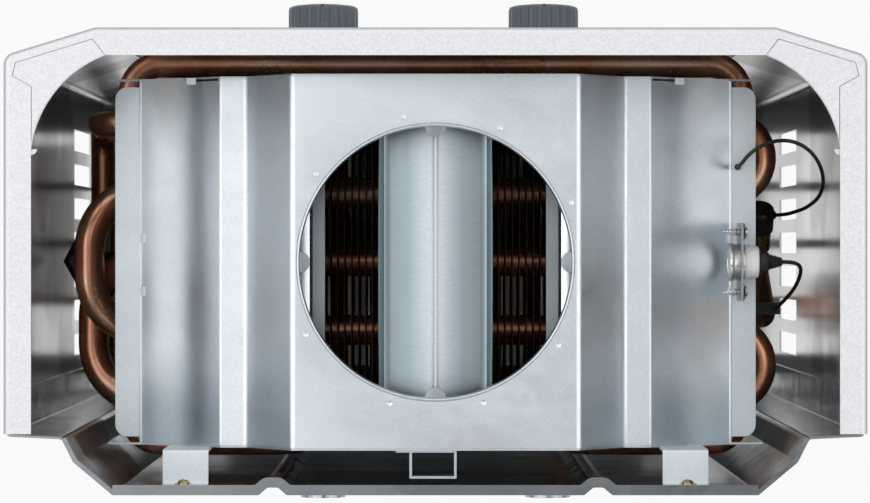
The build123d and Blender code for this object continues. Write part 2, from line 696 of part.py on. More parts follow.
def cold_pipe():
    """Copper pipe from the water valve to the foot of the coil."""
    points = [(COLD_PIPE_X, VALVE_Y + 22, KNOB_Z), (COLD_PIPE_X, COIL_REAR_Y, KNOB_Z),
              (COLD_PIPE_X, COIL_REAR_Y, COIL_LOW_Z)]
    return pipe(points, COIL_BEND, COIL_R, TUBE_WALL)


def combustion_chamber():
    """Sheet box between the burner and the exchanger, open above and below."""
    y1, y2 = HOOD_MID_Y - SHELL_HALF_Y, HOOD_MID_Y + SHELL_HALF_Y
    top = SHELL_LOW_Z - 0.1
    chamber = box(-SHELL_X, SHELL_X, y1, y2, CHAMBER_LOW_Z, top)
    chamber -= box(-SHELL_X + SHELL_WALL, SHELL_X - SHELL_WALL, y1 + SHELL_WALL, y2 - SHELL_WALL,
                   CHAMBER_LOW_Z - 1, top + 1)
    for x in ELECTRODE_X:
        chamber -= rod((x, y1 - 2, ELECTRODE_Z), (0, 1, 0), ELECTRODE_R + 0.1, 6)
    return chamber


def burner_frame():
    """Tray that carries the burner bars under the chamber."""
    y1, y2 = HOOD_MID_Y - SHELL_HALF_Y, HOOD_MID_Y + SHELL_HALF_Y
    top = CHAMBER_LOW_Z - 0.1
    frame = box(-SHELL_X, SHELL_X, y1, y2, BURNER_LOW_Z, top)
    frame -= box(-SHELL_X + FRAME_WALL, SHELL_X - FRAME_WALL, y1 + FRAME_WALL, y2 - FRAME_WALL,
                 BURNER_LOW_Z - 1, top + 1)
    for y in (y1 + 14, y2 - 14):
        frame += box(-SHELL_X + 1, SHELL_X - 1, y - 4, y + 4, BURNER_LOW_Z, BURNER_LOW_Z + 2)
    return frame


def bar_places():
    """The burner bars' middles across the casing."""
    return [(index - (BURNER_BARS - 1) / 2) * BAR_PITCH for index in range(BURNER_BARS)]


def burner_bars():
    """Upright burner bars with a slotted top, from front to rear."""
    reach = SHELL_HALF_Y - 2
    low = BURNER_LOW_Z + 2.1
    section = Polyline((-5.5, 0), (5.5, 0), (4, 8), (2.2, 14), (3.6, 20), (3.6, 30), (-3.6, 30),
                       (-3.6, 20), (-2.2, 14), (-4, 8), close=True)
    bar = extrude(Plane.XZ * make_face(section), amount=reach, both=True)
    for step in range(-8, 9):
        bar -= Pos(0, step * 7, 30) * Box(4, 3, 5)
    return [Pos(x, HOOD_MID_Y, low) * bar for x in bar_places()]


def gas_manifold():
    """Gas pipe under the bars with one nozzle each and a feed from the valve."""
    length = 2 * bar_places()[-1] + 16
    manifold = rod((-length / 2, MANIFOLD_Y, MANIFOLD_Z), (1, 0, 0), MANIFOLD_R, length)
    manifold -= rod((-length / 2 + 2, MANIFOLD_Y, MANIFOLD_Z), (1, 0, 0), MANIFOLD_R - 1.5, length - 4)
    top = BURNER_LOW_Z - 2
    for x in bar_places():
        manifold += tube((x, MANIFOLD_Y, MANIFOLD_Z + MANIFOLD_R - 1), (0, 0, 1), NOZZLE_R, 0.5,
                         top - MANIFOLD_Z - MANIFOLD_R + 1)
    low = VALVE_TOP_Z + 0.1
    manifold += tube((GAS_X, MANIFOLD_Y, low), (0, 0, 1), 7, 5, MANIFOLD_Z - MANIFOLD_R + 1 - low)
    return manifold


def gas_valve():
    """Cast gas valve with a spindle bore, a rod bore and a pipe stub below."""
    x1, x2 = GAS_VALVE_X
    body = box(x1, x2, VALVE_FRONT_Y, VALVE_Y + 22, KNOB_Z - 22, VALVE_TOP_Z)
    body = fillet(body.edges().filter_by(Axis.Y), radius=5)
    body += rod((x2, VALVE_Y, KNOB_Z), (1, 0, 0), 9, 3)
    body += rod((x1, VALVE_Y, KNOB_Z), (-1, 0, 0), 7, 8)
    body += rod((FLAME_KNOB_X, VALVE_FRONT_Y, KNOB_Z), (0, -1, 0), 8, 6)
    body -= rod((FLAME_KNOB_X, VALVE_FRONT_Y - 7, KNOB_Z), (0, 1, 0), SPINDLE_R + SPINDLE_FIT, 20)
    body -= rod((x1 - 9, VALVE_Y, KNOB_Z), (1, 0, 0), PUSH_ROD_R + SPINDLE_FIT, 20)
    body += tube((GAS_X, VALVE_Y, KNOB_Z - 21), (0, 0, -1), 9, 7, 8)
    return body


def gas_solenoid():
    """Round safety solenoid on the side of the gas valve."""
    start = GAS_VALVE_X[1] + 3.1
    solenoid = rod((start, VALVE_Y, KNOB_Z), (1, 0, 0), 11, 20)
    solenoid = chamfer(solenoid.edges().sort_by(Axis.X)[-1], length=1.5)
    return solenoid + box(start + 5, start + 13, VALVE_Y - 4, VALVE_Y + 4, KNOB_Z + 8, KNOB_Z + 15)


def water_valve():
    """Cast water valve with its spindle bore, pipe bosses and diaphragm flange."""
    body = box(*WATER_VALVE_X, VALVE_FRONT_Y, VALVE_Y + 21, KNOB_Z - VALVE_HALF_Z, KNOB_Z + VALVE_HALF_Z)
    body = fillet(body.edges().filter_by(Axis.Y), radius=6)
    body += rod((DIAPHRAGM_X, VALVE_Y, KNOB_Z), (1, 0, 0), DIAPHRAGM_R, 5.4)
    body += rod((WATER_KNOB_X, VALVE_FRONT_Y + 1, KNOB_Z), (0, -1, 0), 8, 7)
    body -= rod((WATER_KNOB_X, VALVE_FRONT_Y - 7, KNOB_Z), (0, 1, 0), SPINDLE_R + SPINDLE_FIT, 20)
    body -= rod((COLD_PIPE_X, VALVE_Y + 22, KNOB_Z), (0, -1, 0), COIL_R - TUBE_WALL, 12)
    body -= rod((COLD_X, VALVE_Y, KNOB_Z - 22), (0, 0, 1), 7, 12)
    return body


def diaphragm_cover():
    """Round cover over the diaphragm with a gland for the push rod and six screws."""
    x = DIAPHRAGM_X + 5.5
    cover = rod((x, VALVE_Y, KNOB_Z), (1, 0, 0), DIAPHRAGM_R, 5)
    cover += rod((x + 4.5, VALVE_Y, KNOB_Z), (1, 0, 0), 18, 5)
    cover += rod((x + 9, VALVE_Y, KNOB_Z), (1, 0, 0), 6, 6)
    cover -= rod((x + 1, VALVE_Y, KNOB_Z), (1, 0, 0), PUSH_ROD_R + SPINDLE_FIT, 16)
    for index in range(6):
        angle = math.radians(60 * index + 30)
        circle = DIAPHRAGM_R - 5
        y, z = VALVE_Y + circle * math.cos(angle), KNOB_Z + circle * math.sin(angle)
        cover += extrude(Plane(origin=(x + 4.5, y, z), z_dir=(1, 0, 0)) * RegularPolygon(3.4, 6), amount=3)
    return cover


def push_rod():
    """Rod that the diaphragm pushes towards the gas valve, with a collar."""
    body = rod((-31, VALVE_Y, KNOB_Z), (1, 0, 0), PUSH_ROD_R, 61)
    return body + rod((-8, VALVE_Y, KNOB_Z), (1, 0, 0), 5, 3)


def micro_switch():
    """Small switch over the push rod, with lugs for its lever's pin."""
    x1, x2 = SWITCH_X
    rear = VALVE_Y + SWITCH_HALF_Y
    body = box(x1, x2, VALVE_Y - SWITCH_HALF_Y, rear, SWITCH_Z + 4, SWITCH_Z + 14)
    for y in (VALVE_Y - SWITCH_HALF_Y, rear - 1.2):
        body += box(SWITCH_PIN_X - 2.5, SWITCH_PIN_X + 2.5, y, y + 1.2, SWITCH_Z - 2.5, SWITCH_Z + 4)
    body -= rod((SWITCH_PIN_X, VALVE_Y - 5, SWITCH_Z), (0, 1, 0), 1.05, 10)
    body += box(x1, x2, rear, rear + 1.2, SWITCH_Z + 4, SWITCH_Z + 30)
    return body + box(x1, x2, rear, MANIFOLD_Y - MANIFOLD_R, SWITCH_Z + 28.8, SWITCH_Z + 30)


def switch_lever():
    """Hanging lever on a pin, moved by the rod's collar."""
    blade = box(SWITCH_PIN_X - 0.7, SWITCH_PIN_X + 0.7, VALVE_Y - 1.8, VALVE_Y + 1.8, KNOB_Z + 3, SWITCH_Z)
    hub = rod((SWITCH_PIN_X, VALVE_Y - 1.8, SWITCH_Z), (0, 1, 0), 1.8, 3.6)
    pin = rod((SWITCH_PIN_X, VALVE_Y - SWITCH_HALF_Y, SWITCH_Z), (0, 1, 0), 1, 2 * SWITCH_HALF_Y)
    return blade + hub + pin


def fitting(x, y, top_z, waist, bore):
    """A threaded half-inch end under the casing, with a hexagon and a stem."""
    low = FLOOR_Z - FITTING_DROP
    body = rod((x, y, low), (0, 0, 1), HALF_INCH_R, FITTING_DROP - 6)
    body = chamfer(body.edges().sort_by(Axis.Z)[0], length=1)
    body += Pos(x, y, FLOOR_Z - 6.5) * extrude(RegularPolygon(FITTING_HEX_R, 6), amount=6)
    body += rod((x, y, FLOOR_Z - 1), (0, 0, 1), waist, top_z - FLOOR_Z + 1)
    return body - rod((x, y, low - 1), (0, 0, 1), bore, top_z - low + 2)


def gas_inlet():
    """Gas fitting with its stem up to the gas valve."""
    return fitting(GAS_X, VALVE_Y, KNOB_Z - 29.1, 8.5, 6)


def cold_inlet():
    """Cold water fitting with its stem up to the water valve."""
    return fitting(COLD_X, VALVE_Y, KNOB_Z - 20.1, 9, 7)


def hot_outlet():
    """Hot water fitting with its stem up to the hot pipe."""
    return fitting(HOT_X, HOT_PIPE_Y, FLOOR_Z + 23.9, 8, 5.5)


def knob(x):
    """Fluted control knob with a slightly domed tip, on the casing's front."""
    outline = Sketch() + Circle(KNOB_R)
    for index in range(KNOB_FLUTES):
        angle = 2 * math.pi * index / KNOB_FLUTES
        outline -= Pos((KNOB_R + 0.3) * math.cos(angle), (KNOB_R + 0.3) * math.sin(angle)) * Circle(1.1)
    grip = Pos(0, 0, 4) * extrude(outline, amount=KNOB_LENGTH - 4)
    dome = Polyline((0, -1), (KNOB_R + 2, -1), (KNOB_R + 2, 3.9), (KNOB_R + 0.5, 4.2),
                    (KNOB_R + 0.2, KNOB_LENGTH - 4), (KNOB_R - 1.6, KNOB_LENGTH - 1.4),
                    (KNOB_R - 4, KNOB_LENGTH - 0.6), (0, KNOB_LENGTH), close=True)
    grip &= revolve(Plane.XZ * make_face(dome), axis=Axis.Z)
    skirt = Cone(KNOB_R + 1.6, KNOB_R + 0.4, 4, align=(Align.CENTER, Align.CENTER, Align.MIN))
    pointer = Pos(0, KNOB_R - 4.5, KNOB_LENGTH - 1) * Box(1.6, 7, 3)
    body = grip + skirt - pointer
    body -= Pos(0, 0, -1) * extrude(Circle(SPINDLE_R + SPINDLE_FIT), amount=KNOB_LENGTH - 9)
    place = Plane(origin=(x, FRONT_Y - KNOB_GAP, KNOB_Z), x_dir=(1, 0, 0), z_dir=(0, -1, 0))
    return place.location * body


def spindle(x):
    """Brass spindle between a knob and its valve."""
    return rod((x, FRONT_Y - KNOB_GAP - KNOB_LENGTH + 12, KNOB_Z), (0, 1, 0), SPINDLE_R,
               VALVE_FRONT_Y + 12 - FRONT_Y + KNOB_GAP + KNOB_LENGTH - 12)


def battery_box():
    """Open-bottomed box for two round cells, with lugs for its cover's hinge."""
    x1, x2 = BOX_X - BOX_HALF_X, BOX_X + BOX_HALF_X
    body = box(x1, x2, BOX_FRONT_Y, BOX_REAR_Y, FLOOR_Z, BOX_TOP_Z)
    body -= box(x1 + BOX_WALL, x2 - BOX_WALL, BOX_FRONT_Y + BOX_WALL, BOX_REAR_Y - BOX_WALL,
                FLOOR_Z - 1, BOX_TOP_Z - BOX_WALL)
    for x in (x1, x2 - 5):
        body += box(x, x + 5, BOX_REAR_Y - 2, HINGE_Y + 3, HINGE_Z, FLOOR_Z + 0.5)
        body += rod((x, HINGE_Y, HINGE_Z), (1, 0, 0), 3, 5)
    return body - rod((x1 - 1, HINGE_Y, HINGE_Z), (1, 0, 0), HINGE_PIN_R + 0.05, 2 * BOX_HALF_X + 2)


def battery_cover():
    """Cover under the battery box that swings down on its rear edge."""
    x1, x2 = BOX_X - BOX_HALF_X, BOX_X + BOX_HALF_X
    cover = box(x1 + 0.3, x2 - 0.3, BOX_FRONT_Y, BOX_REAR_Y - 2.4, FLOOR_Z - 3.2, FLOOR_Z - 0.6)
    cover += box(x1 + 5.3, x2 - 5.3, BOX_REAR_Y - 2.5, HINGE_Y, FLOOR_Z - 3.2, FLOOR_Z - 0.9)
    cover += rod((x1 + 5.3, HINGE_Y, HINGE_Z), (1, 0, 0), 2.4, 2 * BOX_HALF_X - 10.6)
    cover += rod((x1 + 0.2, HINGE_Y, HINGE_Z), (1, 0, 0), HINGE_PIN_R, 2 * BOX_HALF_X - 0.4)
    for step in range(5):
        y = BOX_FRONT_Y + 6 + 3 * step
        cover -= box(BOX_X - 8, BOX_X + 8, y, y + 1.2, FLOOR_Z - 4, FLOOR_Z - 2.7)
    return cover


def batteries():
    """Two round cells that stand in the box."""
    cells = []
    for y in (BOX_FRONT_Y + 20, BOX_REAR_Y - 20):
        cell = rod((BOX_X, y, FLOOR_Z + 1), (0, 0, 1), BATTERY_R, BATTERY_LENGTH - 2)
        cell = chamfer(cell.edges().filter_by(GeomType.CIRCLE), length=1)
        cells.append(cell + rod((BOX_X, y, FLOOR_Z + BATTERY_LENGTH - 1.5), (0, 0, 1), 4.5, 1.7))
    return cells


def igniter_module():
    """Black moulded spark module beside the bends, on a foot from the chamber."""
    y = HOOD_MID_Y
    plan = Polyline((164.5, y), (157.5, y + 12.5), (146, y + 12.5), (146, y - 13.5), (157.5, y - 13.5),
                    close=True)
    body = Pos(0, 0, MODULE_LOW_Z) * extrude(make_face(plan), amount=MODULE_HEIGHT)
    body = chamfer(body.edges().group_by(Axis.Z)[-1], length=2.5)
    return body + box(SHELL_X + 0.1, 147, y - 4, y + 4, MODULE_LOW_Z + 4, MODULE_LOW_Z + 10)


def spark_electrodes():
    """Ceramic rods with wire tips through the chamber's front wall."""
    y1 = HOOD_MID_Y - SHELL_HALF_Y
    rods = []
    for x in ELECTRODE_X:
        ceramic = rod((x, y1 - 9, ELECTRODE_Z), (0, 1, 0), ELECTRODE_R, 22)
        rods.append(ceramic + rod((x, y1 + 12, ELECTRODE_Z), (0, 1, 0), 0.9, 16))
    return rods


def sight_glass():
    """Round window in the casing's front, with a stepped ring behind it."""
    glass = rod((0, FRONT_Y + 0.2, SIGHT_Z), (0, 1, 0), SIGHT_R - 0.1, 2.3)
    return glass + rod((0, FRONT_Y + SHEET, SIGHT_Z), (0, 1, 0), SIGHT_R + 3, 1.5)


def thermostat_bracket():
    """Small upright plate on the hood's end flange."""
    y = STAT_Y
    plate = box(-STAT_PLATE_X, -STAT_PLATE_X + 0.8, y - 16, y + 16, STAT_FOOT_Z, STAT_Z + 11)
    plate += box(-STAT_PLATE_X - 5, -STAT_PLATE_X + 0.8, y - 7, y + 7, STAT_FOOT_Z, STAT_FOOT_Z + 0.8)
    plate -= rod((-STAT_PLATE_X - 2, y, STAT_Z), (1, 0, 0), STAT_R + 0.1, 5)
    for side in (left, right):
        plate -= rod((-STAT_PLATE_X - 2, y + side * STAT_EARS / 2, STAT_Z), (1, 0, 0),
                     SCREW_R + SCREW_CLEARANCE, 5)
    return plate


def thermostat():
    """Metal cap of the overheat switch with its two ears."""
    x = -STAT_PLATE_X - 0.1
    cap = rod((x - 1, STAT_Y, STAT_Z), (1, 0, 0), STAT_R, 6.6)
    cap = fillet(cap.edges().sort_by(Axis.X)[-1], radius=1)
    ears = SlotOverall(STAT_EARS + 7.6, 7.6)
    ears = Plane(origin=(x, STAT_Y, STAT_Z), x_dir=(0, 1, 0), z_dir=(-1, 0, 0)) * ears
    body = cap + extrude(ears, amount=0.5)
    for side in (left, right):
        body -= rod((x - 2, STAT_Y + side * STAT_EARS / 2, STAT_Z), (1, 0, 0), SCREW_R + SCREW_CLEARANCE, 4)
    return body


def thermostat_base():
    """White ceramic body behind the cap."""
    base = rod((-STAT_PLATE_X - 1.1, STAT_Y, STAT_Z), (-1, 0, 0), STAT_R - 1, 6)
    return fillet(base.edges().sort_by(Axis.X)[0], radius=0.8)


def thermostat_screws():
    """Two self-tapping screws through the ears, with their points over the hood."""
    x = -STAT_PLATE_X - 0.6
    return [screw((x, STAT_Y + side * STAT_EARS / 2, STAT_Z), (1, 0, 0), 8.6, 3.9, 1.8)
            for side in (left, right)]


def thermostat_boot():
    """Rubber sleeve over the switch's terminal, tapering to its lead."""
    x = -STAT_PLATE_X - 7.1
    profile = Polyline((0, 0), (4.6, 0), (4.6, 3.4), (3.2, 4.6), (1.7, 9.8), (0, 9.8), close=True)
    body = revolve(Plane.XZ * make_face(profile), axis=Axis.Z)
    return Plane(origin=(x, STAT_Y, STAT_Z), z_dir=(-1, 0, 0)).location * body


def along(start, direction, distance):
    """The point at a distance from another along a direction."""
    return [a + distance * b for a, b in zip(start, direction)]


def sensor_start():
    """Where the sensor pocket stands on the hot pipe's first bend."""
    return (-HOT_PIPE_X, HOOD_MID_Y - 6.3, ROW_Z + 4.9)


def sensor_pocket():
    """Brass pocket for the water sensor."""
    return rod(sensor_start(), SENSOR_DIRECTION, 5.4, PLUG_START - 0.1)


def sensor_plug():
    """Moulded plug on the sensor, with a nipple at its side for the lead."""
    start = along(sensor_start(), SENSOR_DIRECTION, PLUG_START)
    plug = rod(start, SENSOR_DIRECTION, 6.3, PLUG_LENGTH)
    plug = fillet(plug.edges().sort_by(Axis.Z)[-1], radius=1.5)
    return plug + rod(along(start, SENSOR_DIRECTION, 7), NIPPLE_DIRECTION, 1.9, NIPPLE_REACH)


def lead_grommets():
    """Seats of the two leads: one on the hood's end flange, one on the coil."""
    x, y, z = SENSOR_LEAD[0]
    seat = rod((x, y, HOOD_END_Z - 0.75), (0, 0, 1), 1.3, z - HOOD_END_Z + 0.75)
    x, y, z = STAT_LEAD[-1]
    clip = tube((-COIL_X, y - 3, COIL_Z), (0, 1, 0), COIL_R + 1.3, COIL_R + 0.1, 6)
    clip += box(x - 2.5, -COIL_X - COIL_R - 0.3, y - 2.5, y + 2.5, z - 8, z)
    return [seat, clip]


def lead(points):
    """A round lead along straight runs and arcs as wide as the runs allow."""
    radii = []
    for before, here, after in zip(points, points[1:], points[2:]):
        run_in = Vector(*here) - Vector(*before)
        run_out = Vector(*after) - Vector(*here)
        turn = math.radians(run_in.get_angle(run_out))
        radii.append(0.45 * min(run_in.length, run_out.length) / math.tan(turn / 2))
    path = FilletPolyline(*points, radius=radii)
    solid = sweep(Plane(origin=path @ 0, z_dir=path % 0) * Circle(LEAD_R), path=path)
    ratio = solid.volume / (math.pi * LEAD_R ** 2 * path.length)
    print("lead radii", [round(radius, 1) for radius in radii])
    print("lead length", round(path.length, 1), "volume ratio", round(ratio, 4))
    return solid


def main():
    os.makedirs(FOLDER, exist_ok=True)
    save("front_cover", front_cover())
    save("corner_gussets", corner_gusset(left), corner_gusset(right))
    save("back_plate", back_plate())
    save("bottom_plate", bottom_plate())
    save("cover_screws", *cover_screws())
    save("hood_cover", hood_cover())
    save("hood_end_left", hood_end(left))
    save("hood_end_right", hood_end(right))
    save("hood_front_wall", hood_wall(-1))
    save("hood_rear_wall", hood_wall(1))
    save("flue_collar", flue_collar())
    save("hood_baffle", hood_baffle())
    save("baffle_rails", *baffle_rails())
    save("hood_straps", hood_strap(left), hood_strap(right))
    save("strap_screws", *strap_screws())
    save("rear_stay", rear_stay())
    save("exchanger_shell", exchanger_shell())
    save("exchanger_fins", *exchanger_fins())
    save("exchanger_tubes", *exchanger_tubes())
    save("return_bends_left", wide_bend(1, 3, BEND_RISE), wide_bend(2, 4, -BEND_RISE))
    save("return_bends_right", close_bend(0, 1), close_bend(3, 4))
    save("chamber_coil", chamber_coil())
    save("hot_pipe", hot_pipe())
    save("cold_pipe", cold_pipe())
    save("combustion_chamber", combustion_chamber())
    save("burner_frame", burner_frame())
    save("burner_bars", *burner_bars())
    save("gas_manifold", gas_manifold())
    save("gas_valve", gas_valve())
    save("gas_solenoid", gas_solenoid())
    save("water_valve", water_valve())
    save("diaphragm_cover", diaphragm_cover())
    save("push_rod", push_rod())
    save("micro_switch", micro_switch())
    save("switch_lever", switch_lever())
    save("gas_inlet", gas_inlet())
    save("cold_inlet", cold_inlet())
    save("hot_outlet", hot_outlet())
    save("flame_knob", knob(FLAME_KNOB_X))
    save("temperature_knob", knob(WATER_KNOB_X))
    save("flame_spindle", spindle(FLAME_KNOB_X))
    save("temperature_spindle", spindle(WATER_KNOB_X))
    save("battery_box", battery_box())
    save("battery_cover", battery_cover())
    save("batteries", *batteries())
    save("igniter_module", igniter_module())
    save("spark_electrodes", *spark_electrodes())
    save("sight_glass", sight_glass())
    save("thermostat_bracket", thermostat_bracket())
    save("thermostat", thermostat())
    save("thermostat_base", thermostat_base())
    save("thermostat_screws", *thermostat_screws())
    save("thermostat_boot", thermostat_boot())
    save("thermostat_lead", lead(STAT_LEAD))
    save("sensor_pocket", sensor_pocket())
    save("sensor_plug", sensor_plug())
    save("sensor_lead", lead(SENSOR_LEAD))
    save("lead_grommets", *lead_grommets())


main()
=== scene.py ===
import bpy
import bmesh
import json
import math
from mathutils import Matrix, Vector


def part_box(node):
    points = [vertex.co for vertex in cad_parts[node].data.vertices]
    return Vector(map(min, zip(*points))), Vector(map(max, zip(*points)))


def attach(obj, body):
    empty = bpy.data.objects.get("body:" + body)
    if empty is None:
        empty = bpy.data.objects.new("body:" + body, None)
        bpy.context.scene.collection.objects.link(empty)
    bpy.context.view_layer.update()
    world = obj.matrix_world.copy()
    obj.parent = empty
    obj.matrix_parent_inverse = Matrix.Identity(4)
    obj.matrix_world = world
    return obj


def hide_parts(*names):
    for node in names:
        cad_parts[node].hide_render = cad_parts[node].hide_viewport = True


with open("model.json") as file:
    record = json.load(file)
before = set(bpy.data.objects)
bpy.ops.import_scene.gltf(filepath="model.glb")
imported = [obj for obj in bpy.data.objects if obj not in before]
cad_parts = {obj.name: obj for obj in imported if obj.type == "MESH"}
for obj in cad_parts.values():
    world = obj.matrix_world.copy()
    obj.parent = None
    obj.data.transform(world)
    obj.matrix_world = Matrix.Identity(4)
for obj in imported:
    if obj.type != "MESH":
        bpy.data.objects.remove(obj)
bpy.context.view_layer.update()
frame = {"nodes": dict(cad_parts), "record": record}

# Sizes and places, in metres, taken from the frame or the object itself
MM = 0.001
RIM_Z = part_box("front_cover")[1][2]
FLOOR_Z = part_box("front_cover")[0][2]
FRONT_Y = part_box("front_cover")[0][1]
HOOD_LOW, HOOD_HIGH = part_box("hood_cover")
HOOD_TOP = HOOD_HIGH[2]
HOOD_MID_Y = (HOOD_LOW[1] + HOOD_HIGH[1]) / 2
FLUE_R = 55 * MM
FLOOR_DROP = 0.12
FLOOR_SIZE = 8

# The hood across the casing, in millimetres from its middle: the flat's edge, the foot of the slope, the
# strip's edge and the end of the curve, with the drops between them, and a point midway on the curve
FLAT_X, SLOPE_X, STRIP_X, CURVE_X = 58, 77, 88, 122
STRIP_DROP, CURVE_DROP = 24, 26
CURVE_MIDDLE = (103.8, 14.6)
CURVE_STEPS = 28

# The hood's depth, its sheet's thickness and the collar's reach below its top, in millimetres
HOOD_DEPTH, SHEET, COLLAR_DROP = 150, 0.8, 13

# The slots in the hood's curves and the slits in its front corners, as places across and up, in metres
SLOT_X, SLOT_Z = 0.121, 0.2
SLIT_X, SLIT_Z = 0.0935, 0.222

# The stops in the collar: their middles stand on one circle, and another trims them
STOP_R, STOP_TRIM_R = 55.3 * MM, 55.7 * MM

# The pitch of a half-inch pipe thread, in millimetres
PIPE_PITCH = 1.814

# How deep the finest grain of a finish is raised, in metres
FINE_GRAIN = 0.00003

# The camera looks straight down, from high over the open top
CAMERA_HEIGHT = 1.5
PICTURE_WIDTH = 0.3419
PICTURE_MIDDLE = (0.0002, -0.0983)
SENSOR = 36.0

# Light levels, where 1 is white: what rough surfaces are lit by, what metal mirrors, and the floor as seen
DIFFUSE_ZENITH = 1.06
DIFFUSE_HORIZON = 0.16
GLOSSY_ZENITH = 0.47
GLOSSY_RING = 1.28
GLOSSY_HORIZON = 0.30
GLOSSY_LEAN = 0.82
FLOOR_GLOW = 0.92
FLOOR_GLOSS = 0.75

# How far up a direction points where one level passes into the next
OVERHEAD_EDGE = (0.6, 0.9)
RING_EDGE = (0.0, 0.25)
DIFFUSE_EDGE = (0.1, 0.95)

# The soft lamps: place, what they face, size in metres and power in watts
LAMPS = {
    "key": ((1.15, -0.35, 2.25), (0, -0.09, 0.2), 1.6, 9),
    "fill": ((-1.15, -0.05, 2.25), (0, -0.09, 0.2), 1.6, 6),
    "front": ((0.3, -2.2, 0.3), (0, -0.09, 0.0), 2.2, 5),
}

# The circle round the flue hole, and the degrees on it, at which the clinching tool left its marks
CLINCH_R = 59.6 * MM
CLINCH_ANGLES = (-77.6, -115.8, -156.4, 146.0, 108.9, 72.1, 29.1, -36.4)

# Sheets that wear another tone of the galvanised sheet: the bracket a darkened copy as painted shade, the
# straps a lightened copy as painted light
SHEETS = {"thermostat_bracket": "dull_shaded_sheet", "hood_straps": "lit_sheet"}

# The leads' diameter, and their routes in millimetres, from their exits to their far seats
LEAD_DIAMETER = 1.6 * MM
STAT_ROUTE = [
    (-142.7, -94, 215),
    (-147.3, -94, 215),
    (-150.7, -92.2, 212),
    (-151, -88, 205),
    (-149.4, -82.5, 194),
    (-146.8, -78, 181),
    (-145, -75.2, 170.5),
    (-144.5, -74, 163.5),
    (-144.5, -74, 158),
]
SENSOR_ROUTE = [
    (-125.5, -133.4, 201.5),
    (-125.5, -133.4, 207.3),
    (-130, -139.5, 213),
    (-138, -143.8, 213.5),
    (-147.5, -144.2, 211.5),
    (-156.5, -139.2, 206),
    (-161.8, -130, 197.5),
    (-161.6, -121.5, 185),
    (-157, -116.8, 171),
    (-153.5, -115.3, 160),
    (-149.6, -113.98, 147.96),
    (-145.4, -113.98, 142.36),
]


class Wire:
    """A socket in a shader, with arithmetic that adds Math nodes."""

    def __init__(self, finish, socket):
        self.finish, self.socket = finish, socket

    def __add__(self, other):
        return self.finish.math("ADD", self, other)

    def __sub__(self, other):
        return self.finish.math("SUBTRACT", self, other)

    def __rsub__(self, other):
        return self.finish.math("SUBTRACT", other, self)

    def __mul__(self, other):
        return self.finish.math("MULTIPLY", self, other)

    def __gt__(self, other):
        return self.finish.math("GREATER_THAN", self, other)

    def __lt__(self, other):
        return self.finish.math("LESS_THAN", self, other)

    def __abs__(self):
        return self.finish.math("ABSOLUTE", self)

    __radd__ = __add__
    __rmul__ = __mul__


